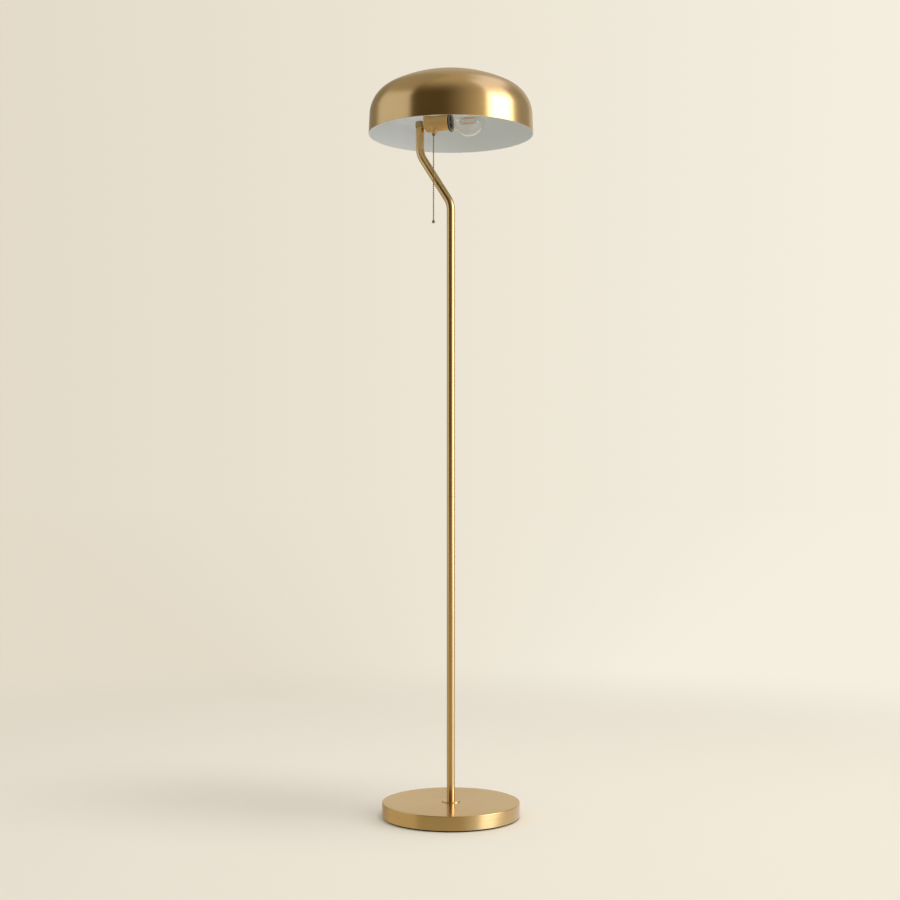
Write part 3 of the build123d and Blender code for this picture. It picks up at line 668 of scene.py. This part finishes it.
class LAMP_OT_base(bpy.types.Operator):
    """Spin the base's brass cover and its foot disc"""
    bl_idname = "lamp.base"
    bl_label = "Base"

    def execute(self, context):
        sizes = context.scene.lamp_base
        self.cover(sizes)
        self.disc(sizes)
        return {"FINISHED"}

    def cover(self, sizes):
        radius, edge, sheet = high("base_shell", "X"), sizes.edge, sizes.skin
        foot, top = ends("base_shell", "Z")
        top_rings = 8
        outline = [(radius - sheet, foot)] + turned_side(radius, foot, top, 0.4 * MM, edge)
        outline += [(place * (radius - edge) / top_rings, top)
                    for place in range(top_rings - 1, 0, -1)]
        outline += [(PIPE_HOLE, top), (PIPE_HOLE, top - sheet), (radius - sheet, top - sheet)]
        cover = lathe("base_cover", outline, place_upright(), materials["satin_brass"],
                      steps=BROAD_STEPS)
        # the hole for the grommet, through the cover's rear
        outlet = (Matrix.Translation((0, radius, middle("cord_grommet", "Z")))
                  @ Matrix.Rotation(math.radians(-90), 4, "X"))
        cut(cover, rod("outlet_cutter", 4.5 * MM, -9 * MM, 3 * MM, outlet))
        stands_for(cover, "lamp", "satin_brass", "base_shell")

    def disc(self, sizes):
        foot, top = ends("foot_disc", "Z")
        side = turned_side(high("foot_disc", "X"), foot, top, 0.2 * MM, sizes.disc_edge)
        outline = [(PIPE_HOLE, foot)] + side + [(PIPE_HOLE, top)]
        disc = lathe("foot_plate", outline, place_upright(), materials["satin_brass"],
                     steps=DISC_STEPS)
        stands_for(disc, "lamp", "satin_brass", "foot_disc")


class LAMP_OT_pole(bpy.types.Operator):
    """Draw the pole's three tubes, the upper one bent twice"""
    bl_idname = "lamp.pole"
    bl_label = "Pole"

    def execute(self, context):
        sizes = context.scene.lamp_pole
        for name, above in (("pole_lower", "pole_middle"), ("pole_middle", "pole_upper")):
            path = [Vector((0, 0, low(name, "Z"))), Vector((0, 0, low(above, "Z")))]
            self.tube(sizes, name, path, chamfered_top=True)
        foot, top = ends("pole_upper", "Z")
        first, second = foot + sizes.knee, foot + sizes.knee + sizes.rise
        slope = math.atan2(-NECK_X, sizes.rise)
        reach = sizes.bend * math.tan(slope / 2)
        path = [Vector((0, 0, foot))]
        path += self.bend(Vector((-sizes.bend, 0, first - reach)), sizes.bend, 0, slope)
        path += self.bend(Vector((NECK_X + sizes.bend, 0, second + reach)), sizes.bend,
                          math.pi + slope, math.pi)
        path.append(Vector((NECK_X, 0, top)))
        self.tube(sizes, "pole_upper", path, chamfered_top=False)
        return {"FINISHED"}

    def bend(self, centre, radius, start, end, steps=24):
        """Points of a bend in the XZ plane."""
        angles = [start + (end - start) * step / steps for step in range(steps + 1)]
        return [centre + radius * Vector((math.cos(angle), 0, math.sin(angle)))
                for angle in angles]

    def tube(self, sizes, name, path, chamfered_top):
        radius = high("pole_lower", "X")
        along = (path[1] - path[0]).normalized() * sizes.seam
        points = [path[0], path[0] + along] + path[1:-1]
        radii = [radius - sizes.seam] + [radius] * (len(points) - 1)
        if chamfered_top:
            points += [path[-1] - along, path[-1]]
            radii += [radius, radius - sizes.seam]
        else:
            points.append(path[-1])
            radii.append(radius)
        tube = tube_along(name + "_tube", points, radii, radius - sizes.wall,
                          materials["tube_brass"])
        stands_for(tube, "lamp", "satin_brass", name)


class LAMP_OT_neck(bpy.types.Operator):
    """Turn the knuckle on the tube's top and the knurled finial on the crown"""
    bl_idname = "lamp.neck"
    bl_label = "Knuckle and finial"

    def execute(self, context):
        self.knuckle(context.scene.lamp_pole.wall)
        self.finial()
        return {"FINISHED"}

    def knuckle(self, tube_wall):
        radius, foot, top = half("knuckle", "Y"), high("pole_upper", "Z"), high("knuckle", "Z")
        clearance, depth = 0.05 * MM, 9 * MM
        spigot, spigot_foot = high("pole_lower", "X") - tube_wall - clearance, low("knuckle", "Z")
        outline = [(0, spigot_foot), (spigot, spigot_foot), (spigot, foot)]
        outline += turned_side(radius, foot, top, 0.6 * MM, 3.0 * MM, 10) + [(0, top)]
        # its darker brass is painted shade
        knuckle = lathe("knuckle_body", outline, place_upright(x=NECK_X),
                        materials["shaded_knuckle_brass"], steps=TUBE_STEPS)
        # the flat for the washer, and the hole for the nipple
        cut(knuckle, rod("flat_cutter", half("arm_washer", "Y") + 0.3 * MM, 0, depth,
                         place_level(x=low("arm_washer", "X"))))
        cut(knuckle, rod("bore_cutter", PIPE_HOLE, 0, depth,
                         place_level(x=low("arm_nipple", "X"))))
        stands_for(knuckle, "lamp", "satin_brass", "knuckle")

    def finial(self):
        foot, top = ends("finial", "Z")
        rib_depth, chamfer, rounding = 0.35 * MM, 0.3 * MM, 3.2 * MM
        core = high("finial", "X") - rib_depth
        outline = [(0, foot), (high("finial", "X") - 0.6 * MM, foot), (core, foot + chamfer)]
        outline += arc((core - rounding, top - rounding), rounding, 0, 90, 10) + [(0, top)]
        knob = lathe("finial_core", outline, place_upright(), materials["satin_brass"],
                     steps=TUBE_STEPS)
        sizes = {"Count": 40, "Circle": core, "Height": 3.6 * MM, "Radius": 0.34 * MM}
        ribs = grow("finial_ribs", rib_tree(), sizes, materials["satin_brass"],
                    place_upright(z=foot + 0.7 * MM))
        stands_for(join("finial_knob", [knob, ribs]), "lamp", "satin_brass", "finial")


class LAMP_OT_socket(bpy.types.Operator):
    """Spin the socket's cap and barrel, flare the chain's bell and mould the ribbed ring"""
    bl_idname = "lamp.socket"
    bl_label = "Socket"

    # the bell in millimetres: reach from the socket's axis, shift along X, radius
    stations = ((12.0, -3.5, 10.5), (19.0, -1.0, 6.4), (25.0, 0.0, 3.5), (28.0, 0.0, 3.6))

    def execute(self, context):
        sizes = context.scene.lamp_socket
        for piece, node in ((self.cap(sizes), "socket_cap"),
                            (self.barrel(sizes), "socket_shell")):
            way_out = self.horn("way_out_cutter", sizes, self.trumpet(sizes.bell_skin),
                                solid=True)
            cut(piece, way_out)
            stands_for(piece, "lamp", "socket_brass", node)
        self.bell(sizes)
        self.moulded_ring(sizes)
        return {"FINISHED"}

    def cap(self, sizes):
        start, radius = low("socket_cap", "X"), half("socket_cap", "Y")
        end = high("socket_cap", "X") - start
        rounding, sheet, chamfer = sizes.cap_rounding, sizes.cap_skin, 0.25 * MM
        centre = (radius - rounding, rounding)
        outline = [(PIPE_HOLE, 0)] + arc(centre, rounding, -90, 0)
        outline += [(radius, end - chamfer), (radius - chamfer, end), (radius - sheet, end)]
        outline += arc(centre, rounding - sheet, 0, -90) + [(PIPE_HOLE, sheet)]
        return lathe("socket_cap_skin", outline, place_level(x=start),
                     materials["socket_brass"], steps=SOCKET_STEPS)

    def barrel(self, sizes):
        start, radius = low("socket_shell", "X"), half("socket_shell", "Y")
        end, bore, bead = high("socket_shell", "X") - start, radius - sizes.shell_skin, 0.18 * MM
        outline = [(bore, 0), (radius - bead, 0), (radius, bead)]
        # a shallow groove rolled round the mouth, by its depth and its place from the end
        outline += [(radius - depth, end - place * MM)
                    for depth, place in ((0, 4.0), (bead, 3.6), (bead, 3.2), (0, 2.8))]
        outline += [(radius, end - bead), (radius - bead, end), (bore, end)]
        return lathe("socket_barrel", outline, place_level(x=start), materials["socket_brass"],
                     steps=SOCKET_STEPS)

    def trumpet(self, inset, rings=24):
        """Reach, shift and radius along the bell, from inside the barrel to the mouth."""
        first, last = self.stations[0][0], self.stations[-1][0]
        curve = []
        for index in range(rings + 1):
            reach = first + (last - first) * index / rings
            shift, radius = self.station(reach)
            curve.append((reach * MM, shift * MM, radius * MM - inset))
        return curve

    def slope(self, index, axis):
        before = self.stations[max(index - 1, 0)]
        after = self.stations[min(index + 1, len(self.stations) - 1)]
        return (after[axis] - before[axis]) / (after[0] - before[0])

    def station(self, reach):
        """Shift and radius on a cubic through the stations, so that the horn has no kink."""
        index = 0
        while index < len(self.stations) - 2 and reach > self.stations[index + 1][0]:
            index += 1
        first, second = self.stations[index], self.stations[index + 1]
        run = second[0] - first[0]
        t = (reach - first[0]) / run
        return [(2 * t ** 3 - 3 * t ** 2 + 1) * first[axis]
                + (t ** 3 - 2 * t ** 2 + t) * run * self.slope(index, axis)
                + (-2 * t ** 3 + 3 * t ** 2) * second[axis]
                + (t ** 3 - t ** 2) * run * self.slope(index + 1, axis) for axis in (1, 2)]

    def horn(self, name, sizes, curve, *finish, solid=False):
        """Rings along the bell's tilted axis: a solid with flat ends, or a closed wall."""
        centre = Vector((middle("chain_lead", "X"), 0, SOCKET_Z))
        down = Vector((0, -math.sin(sizes.bell_tilt), -math.cos(sizes.bell_tilt)))
        side = Vector((1, 0, 0))
        across = down.cross(side)
        bm = bmesh.new()
        rings = [ring(bm, HORN_STEPS, lambda angle: (
            centre + side * shift + down * reach
            + (side * math.cos(angle) + across * math.sin(angle)) * radius))
            for reach, shift, radius in curve]
        skin(bm, rings, closed=not solid)
        if solid:
            bm.faces.new(rings[0])
            bm.faces.new(rings[-1])
        return as_object(name, bm, *finish)

    def bell(self, sizes):
        """The chain's bell, trimmed where it seats on the cap and the barrel."""
        walls = self.trumpet(0.0) + self.trumpet(sizes.bell_skin)[::-1]
        bell = self.horn("chain_bell_horn", sizes, walls, materials["socket_brass"])
        start = low("socket_cap", "X")
        seam, end = high("socket_cap", "X") - start, high("socket_shell", "X") - start
        cap, barrel = half("socket_cap", "Y"), half("socket_shell", "Y")
        outline = [(0, 0), (cap, 0), (cap, seam), (barrel, seam), (barrel, end), (0, end)]
        cut(bell, lathe("seat_cutter", outline, place_level(x=start), steps=SOCKET_STEPS))
        stands_for(bell, "lamp", "socket_brass", "chain_bell")

    def moulded_ring(self, sizes):
        start, radius = high("socket_shell", "X"), half("socket_ring", "Y")
        thick, back = high("socket_ring", "X") - start, start - low("socket_ring", "X")
        skirt = half("socket_shell", "Y") - sizes.shell_skin - 0.05 * MM
        bore, mouth, core = 14.2 * MM, 14.9 * MM, radius - 0.45 * MM
        chamfer, edge, taper = 0.3 * MM, 0.5 * MM, 1.6 * MM
        outline = [(bore, -back), (skirt, -back), (skirt, 0), (core - chamfer, 0),
                   (core, chamfer), (core, thick - edge), (core - edge, thick),
                   (mouth + edge, thick), (mouth, thick - 0.4 * MM), (bore, -taper)]
        side_slot, face_slot = 0, 1
        slots = [side_slot] * 6 + [face_slot] * 3 + [side_slot]
        body = lathe("ring_body", outline, place_level(x=start), materials["black_phenolic"],
                     materials["ring_face"], steps=SOCKET_STEPS, slots=slots)
        rib = {"Count": sizes.ribs, "Circle": core - 0.1 * MM, "Radius": 0.5 * MM,
               "Height": thick - 2 * chamfer}
        ribs = grow("ring_ribs", rib_tree(), rib, materials["black_phenolic"],
                    place_level(x=start) @ place_upright(z=chamfer))
        moulding = join("socket_ring_moulding", [body, ribs])
        stands_for(moulding, "lamp", "black_phenolic", "socket_ring")


class LAMP_OT_chain(bpy.types.Operator):
    """String the ball chain and hang its end ball"""
    bl_idname = "lamp.chain"
    bl_label = "Pull chain"

    def execute(self, context):
        sizes = context.scene.lamp_chain
        self.tree = chain_tree()
        x, y = middle("chain_lead", "X"), middle("chain_lead", "Y")
        lead_top = high("chain_lead", "Z") - sizes.ball
        self.lead(sizes, place_upright(x, y, lead_top))
        self.hanging(sizes, x, y, lead_top - 2 * sizes.pitch)
        self.end_ball(place_upright(x, y, high("chain_end", "Z")))
        return {"FINISHED"}

    def lead(self, sizes, place):
        """The balls that leave the bell, and the slack that follows them out when pulled."""
        lead = self.string(sizes, "chain_lead_balls", 2, 1, place)
        slack_at = (place @ Matrix.Rotation(-sizes.slack_tilt, 4, "X")
                    @ place_upright(z=2 * sizes.pitch))
        slack = self.string(sizes, "chain_slack", 2, 2, slack_at)
        lead = join("chain_lead_balls", [lead, slack])
        stands_for(lead, "chain_slide", "chain_brass", "chain_lead")

    def hanging(self, sizes, x, y, first_ball):
        foot, overlap = high("chain_end", "Z"), 0.1 * MM
        count = round((first_ball - foot) / sizes.pitch + 0.5)
        string = self.string(sizes, "chain_balls", count, count - 1,
                             place_upright(x, y, first_ball))
        top_link = rod("top_link", sizes.link, 0, sizes.pitch - 2 * sizes.ball,
                       place_upright(x, y, first_ball + sizes.ball - overlap),
                       materials["chain_brass"], steps=LINK_STEPS)
        last_link = rod("last_link", sizes.link, 0, 0.6 * MM, place_upright(x, y, foot - overlap),
                        materials["chain_brass"], steps=LINK_STEPS)
        string = join("chain_balls", [string, top_link, last_link])
        stands_for(string, "chain", "chain_brass", "pull_chain")

    def end_ball(self, place):
        """A ball under a short collar, which takes the last link."""
        ball, collar = 3.2 * MM, 1.45 * MM
        height = high("chain_end", "Z") - low("chain_end", "Z")
        meet = math.degrees(math.acos(collar / ball))
        outline = [(0, 0), (0.7 * collar, 0), (collar, -0.5 * MM), (collar, -1.1 * MM),
                   (0.82 * collar, -1.3 * MM)]
        outline += arc((0, ball - height), ball, meet, -90, 24)[:-1] + [(0, -height)]
        end = lathe("chain_end_ball", outline, place, materials["chain_brass"],
                    steps=SMALL_STEPS)
        stands_for(end, "chain", "chain_brass", "chain_end")

    def string(self, sizes, name, count, links, place):
        """Balls and links from a place down along its own axis."""
        values = {"Count": count, "Links": links, "Pitch": sizes.pitch, "Ball": sizes.ball,
                  "Link": sizes.link}
        return grow(name, self.tree, values, materials["chain_brass"], place)


class LAMP_OT_bulb(bpy.types.Operator):
    """Blow the clear bulb round its filament strips and screw base"""
    bl_idname = "lamp.bulb"
    bl_label = "Bulb"

    def execute(self, context):
        sizes = context.scene.lamp_bulb
        outline = self.profile(sizes, 0.0) + self.profile(sizes, sizes.glass)[::-1]
        glass = lathe("bulb_envelope", outline, place_level(), materials["clear_glass"],
                      steps=BULB_STEPS)
        stands_for(glass, "bulb", "clear_glass", "bulb_glass")
        self.screw_base(sizes)
        self.strips()
        return {"FINISHED"}

    def profile(self, sizes, inset):
        """The bulb's neck, its hollow flare and its round end, each tangent to the next."""
        ball, neck = sizes.radius - inset, sizes.neck - inset
        flare_start = -9.0 * MM
        run = sizes.centre - flare_start
        flare = (run ** 2 + neck ** 2 - ball ** 2) / (2 * (ball - neck))
        angle = math.degrees(math.atan2(neck + flare, run))
        points = [(neck, low("bulb_glass", "X"))]
        points += arc((neck + flare, flare_start), flare, 180, 90 + angle, 20)
        points += arc((0, sizes.centre), ball, angle - 90, 90, 48)[1:-1]
        return points + [(0, sizes.centre + ball)]

    def on_circle(self, x, radius, angle):
        """A place on a circle round the socket's axis."""
        return x, radius * math.sin(angle), SOCKET_Z + radius * math.cos(angle)

    def screw_base(self, sizes):
        """Rolled metal shell whose thread climbs one pitch a turn."""
        start, end = ends("bulb_base", "X")
        crest, root, sheet = 13.1 * MM, 12.4 * MM, 0.4 * MM
        collar, inner = sizes.neck + 0.45 * MM, sizes.neck + 0.05 * MM
        collar_start, thread_end = end - 3.0 * MM, end - 3.6 * MM
        levels, fade_share = 64, 6  # the thread fades in and out over a sixth of its length
        bm = bmesh.new()
        rings = []
        for level in range(levels + 1):
            x = start + (thread_end - start) * level / levels
            fade = min(1.0, fade_share * level / levels, fade_share * (levels - level) / levels)

            def thread(angle):
                wave = math.cos(2 * math.pi * (x - start) / sizes.thread_pitch + angle)
                radius = root + (crest - root) * (0.5 + 0.5 * wave) * fade
                return self.on_circle(x, radius, angle)

            rings.append(ring(bm, TUBE_STEPS, thread))
        for x, radius in ((collar_start, collar), (end, collar), (end, inner),
                          (collar_start, inner), (thread_end, root - sheet),
                          (start, root - sheet)):
            rings.append(ring(bm, TUBE_STEPS, lambda angle: self.on_circle(x, radius, angle)))
        skin(bm, rings)
        base = as_object("bulb_screw_base", bm, materials["plated_steel"])
        stands_for(base, "bulb", "plated_steel", "bulb_base")

    def strips(self):
        """Four coated strips with bare metal ends, set round the bulb's axis."""
        start, end = ends("bulb_filaments", "X")
        radius, wire, tip, rounding = 0.9 * MM, 0.45 * MM, 1.4 * MM, 0.4 * MM
        circle = (half("bulb_filaments", "Y") - radius) * math.sqrt(2)
        span = end - start
        outline = [(0, 0), (wire, 0), (wire, tip)]
        outline += arc((radius - rounding, tip + rounding), rounding, -90, 0, 4)
        outline += arc((radius - rounding, span - tip - rounding), rounding, 0, 90, 4)
        outline += [(wire, span - tip), (wire, span), (0, span)]
        coat_slot, metal_slot = 0, 1
        slots = [metal_slot] * 3 + [coat_slot] * 9 + [metal_slot] * 4
        made = []
        for quarter in range(4):
            place = place_level(*self.on_circle(start, circle, math.radians(45 + 90 * quarter)))
            made.append(lathe("strip", outline, place, materials["filament_coat"],
                              materials["plated_steel"], steps=LINK_STEPS, slots=slots))
        strips = join("filament_strips", made)
        stands_for(strips, "bulb", "filament_coat", "bulb_filaments")


class LAMP_OT_stage(bpy.types.Operator):
    """Set the pale floor, the soft studio lights and the camera at the photograph's angle"""
    bl_idname = "lamp.stage"
    bl_label = "Studio"

    # the photograph's frame and what was measured in it, in pixels, metres and degrees
    photo_width = 900
    horizon_row = 482.5
    pole_column = 450.9
    focal_pixels = 1490.0
    distance = 2.9055
    camera_height = 0.6515
    azimuth = 21.0

    lamp_light, sky_light, sky_strength = "#FFFDF8", "#FFFDFA", 0.65
    lit_height = 0.9  # what the soft lights aim at
    tent_radius = 5.0
    tent_steps, floor_steps = 96, 64
    tent_level, tent_above, tent_turn = "#D8D0BE", "#BDB7AC", 40.0  # from level to 40 degrees up

    # what the brass mirrors, in degrees round the lamp from the camera's side and up from the
    # shade: left edge and its softness, right edge, lower edge, upper edge, colour, strength.
    # A later row covers an earlier one. A strength below 1 lets the earlier one through.
    room = (
        ((-166, 12), (-122, 8), (-120, 5), (120, 5), "#A6A197", 0.8),
        ((-160, 8), (-125, 7), (-120, 5), (46, 8), "#8D887C", 0.95),
        ((-150, 12), (-50, 12), (38, 8), (120, 5), "#A6A197", 1.0),
        ((-118, 6), (-59, 3), (-120, 5), (33, 8), "#DADEE8", 1.0),
        ((-200, 5), (200, 5), (-120, 5), (-18, 7), "#B0A690", 1.0),
        ((30, 16), (200, 5), (-120, 5), (-18, 7), "#DDDCE0", 1.0),
        ((-130, 8), (-57, 3), (-120, 5), (-18, 7), "#C9BDA2", 1.0),
        ((-59, 5), (22, 35), (-16, 10), (54, 24), "#524730", 1.0),
        ((-118, 6), (-59, 3), (-10, 8), (33, 8), "#DADEE8", 1.0),
        ((53, 7), (148, 12), (43, 8), (70, 9), "#E2E4FF", 1.35),
        ((104, 7), (142, 8), (-18, 8), (43, 8), "#A19F99", 1.0),
        ((54, 3), (97, 6), (20, 10), (46, 7), "#F4F2FF", 1.5),
        ((54, 7), (92, 9), (-15, 12), (27, 11), "#F6F4FF", 5.2),
        ((48, 8), (78, 10), (-120, 5), (-18, 7), "#F0F1FF", 1.8),
    )

    def execute(self, context):
        self.camera(context)
        self.floor(context)
        self.world(context)
        self.softbox("key_softbox", side=74, distance=3.6, height=1.6, width=2.6, tall=2.6,
                     radiance=1.5)
        self.softbox("top_softbox", side=70, distance=0.8, height=3.9, width=0.6, tall=1.3,
                     radiance=16.5)
        self.tent()
        return {"FINISHED"}

    def direction(self, side):
        """A level direction from the lamp, turned to the camera's right by degrees."""
        turn = math.radians(self.azimuth + side)
        return Vector((math.sin(turn), -math.cos(turn), 0))

    def camera(self, context):
        data = bpy.data.cameras.new("camera")
        data.sensor_width = 36.0
        data.lens = self.focal_pixels * data.sensor_width / self.photo_width
        data.shift_y = (self.horizon_row - self.photo_width / 2) / self.photo_width
        camera = bpy.data.objects.new("camera", data)
        context.scene.collection.objects.link(camera)
        aside = (self.pole_column - self.photo_width / 2) * self.distance / self.focal_pixels
        camera.location = (self.direction(0) * self.distance - self.direction(90) * aside
                           + Vector((0, 0, self.camera_height)))
        camera.rotation_euler = (math.radians(90), 0, math.radians(self.azimuth))
        context.scene.camera = camera

    def lit_wall_colour(self, tree, vector):
        """The wall for a place or direction: it grows lighter to the picture's right, painted
        light from the lamps on that side.
        """
        colours = bpy.context.scene.lamp_colours
        unit = add(tree, "ShaderNodeVectorMath", {0: vector}, operation="NORMALIZE")
        across = dot(tree, unit.outputs["Vector"], self.direction(90))
        return mix_colour(tree, remap(tree, across, -0.3, 0.3), linear(colours.shaded_wall_left),
                          linear(colours.lit_wall_right))

    def floor(self, context):
        """A wide disc of pale paper that fades away from the lamp into a glow of the wall's
        colour, with the wall's painted light.
        """
        material, tree, shader = new_material("pale floor")
        fill(tree, shader, {"Base Color": linear(context.scene.lamp_colours.floor),
                            "Roughness": 0.85, "Specular IOR Level": 0.2})
        place = object_place(tree)
        far = remap(tree, length(tree, place), 0.9, 2.6, kind="SMOOTHERSTEP")
        paper = add(tree, "ShaderNodeEmission",
                    {"Color": self.lit_wall_colour(tree, place), "Strength": 1.0})
        fade = add(tree, "ShaderNodeMixShader", {
            0: far, 1: shader.outputs["BSDF"], 2: paper.outputs["Emission"]})
        fill(tree, tree.nodes["Material Output"], {"Surface": fade.outputs["Shader"]})
        outline = [(radius, 0) for radius in (0, 0.6, 1.2, 2.4, 5.0, 30.0)]
        floor = lathe("floor", outline, place_upright(), material, steps=self.floor_steps,
                      closed=False)
        if floor.data.polygons[0].normal.z < 0:
            floor.data.flip_normals()
        floor.visible_glossy = False

    def world(self, context):
        """The wall's colour, painted lighter to the right, for what camera, gloss and glass see,
        and a plain soft light.
        """
        world = bpy.data.worlds.new("studio")
        context.scene.world = world
        world.use_nodes = True
        tree = world.node_tree
        tree.nodes.clear()
        path = add(tree, "ShaderNodeLightPath").outputs
        seen = maths(tree, "MAXIMUM", path["Is Camera Ray"], path["Is Glossy Ray"])
        seen = maths(tree, "MAXIMUM", seen, path["Is Transmission Ray"])
        facing = add(tree, "ShaderNodeTexCoord").outputs["Generated"]
        wall = add(tree, "ShaderNodeBackground",
                   {"Color": self.lit_wall_colour(tree, facing), "Strength": 1.0})
        light = add(tree, "ShaderNodeBackground",
                    {"Color": linear(self.sky_light), "Strength": self.sky_strength})
        mix = add(tree, "ShaderNodeMixShader", {
            0: seen, 1: light.outputs["Background"], 2: wall.outputs["Background"]})
        add(tree, "ShaderNodeOutputWorld", {"Surface": mix.outputs["Shader"]})

    def softbox(self, name, side, distance, height, width, tall, radiance):
        """A soft light. Gloss sees the painted room instead, so highlights keep their shape."""
        data = bpy.data.lights.new(name, "AREA")
        data.shape = "RECTANGLE"
        data.size, data.size_y = width, tall
        data.energy = radiance * math.pi * width * tall
        data.color = linear(self.lamp_light)[:3]
        lamp = bpy.data.objects.new(name, data)
        bpy.context.scene.collection.objects.link(lamp)
        lamp.location = self.direction(side) * distance + Vector((0, 0, height))
        aim = Vector((0, 0, self.lit_height)) - lamp.location
        lamp.rotation_euler = aim.to_track_quat("-Z", "Y").to_euler()
        lamp.visible_glossy = False

    def tent(self):
        """A tent round the set that only gloss sees, painted with lights and dark walls."""
        material = bpy.data.materials.new("reflected room")
        material.use_nodes = True
        tree = material.node_tree
        tree.nodes.clear()
        eye_level = middle("shade", "Z")
        place = object_place(tree)
        reach, height = cylindrical(tree, place)
        around = self.degrees(tree, dot(tree, place, self.direction(90)),
                              dot(tree, place, self.direction(0)))
        up = self.degrees(tree, maths(tree, "SUBTRACT", height, eye_level), reach)
        paint = mix_colour(tree, remap(tree, up, 0.0, self.tent_turn, kind="SMOOTHSTEP"),
                           linear(self.tent_level), linear(self.tent_above))
        for left, right, lower, upper, hex_value, strength in self.room:
            mask = self.edge(tree, around, *left)
            for edge in (self.edge(tree, around, *right, falling=True),
                         self.edge(tree, up, *lower),
                         self.edge(tree, up, *upper, falling=True), min(strength, 1.0)):
                mask = maths(tree, "MULTIPLY", mask, edge)
            paint = mix_colour(tree, mask, paint, shade_of(hex_value, max(strength, 1.0)))
        glow = add(tree, "ShaderNodeEmission", {"Color": paint, "Strength": 1.0})
        add(tree, "ShaderNodeOutputMaterial", {"Surface": glow.outputs["Emission"]})
        outline = arc((0, eye_level), self.tent_radius, -90, 90, 48)
        outline[0], outline[-1] = (0, outline[0][1]), (0, outline[-1][1])
        tent = lathe("reflected_room", outline, place_upright(), material,
                     steps=self.tent_steps, closed=False)
        tent.visible_camera = False
        tent.visible_diffuse = False
        tent.visible_transmission = False
        tent.visible_shadow = False

    def degrees(self, tree, rise, run):
        return maths(tree, "MULTIPLY", maths(tree, "ARCTAN2", rise, run), 180 / math.pi)

    def edge(self, tree, angle, place, soft, falling=False):
        """A soft step from 0 to 1 at an angle, or from 1 to 0 where it falls."""
        return remap(tree, angle, place - soft, place + soft, float(falling),
                     float(not falling), "SMOOTHSTEP")


OPERATORS = (
    LAMP_OT_materials, LAMP_OT_stage, LAMP_OT_shade, LAMP_OT_base, LAMP_OT_pole, LAMP_OT_neck,
    LAMP_OT_socket, LAMP_OT_chain, LAMP_OT_bulb,
)


class LAMP_PT_sidebar(bpy.types.Panel):
    """Lists the lamp's pieces, sizes and colours"""
    bl_idname = "LAMP_PT_sidebar"
    bl_label = "Floor lamp"
    bl_space_type = "VIEW_3D"
    bl_region_type = "UI"
    bl_category = "Floor lamp"

    def draw(self, context):
        for operator in OPERATORS:
            self.layout.operator(operator.bl_idname)
        for name, group in GROUPS.items():
            box = self.layout.box()
            values = getattr(context.scene, name)
            for key in group.__annotations__:
                box.prop(values, key)


def register():
    for name, group in GROUPS.items():
        bpy.utils.register_class(group)
        setattr(bpy.types.Scene, name, PointerProperty(type=group))
    for operator in OPERATORS:
        bpy.utils.register_class(operator)
    bpy.utils.register_class(LAMP_PT_sidebar)


def unregister():
    bpy.utils.unregister_class(LAMP_PT_sidebar)
    for operator in reversed(OPERATORS):
        bpy.utils.unregister_class(operator)
    for name, group in GROUPS.items():
        delattr(bpy.types.Scene, name)
        bpy.utils.unregister_class(group)


def main():
    register()
    bpy.context.scene.view_settings.view_transform = "Standard"
    for operator in OPERATORS:
        group, verb = operator.bl_idname.split(".")
        getattr(getattr(bpy.ops, group), verb)()


if __name__ == "__main__":
    main()
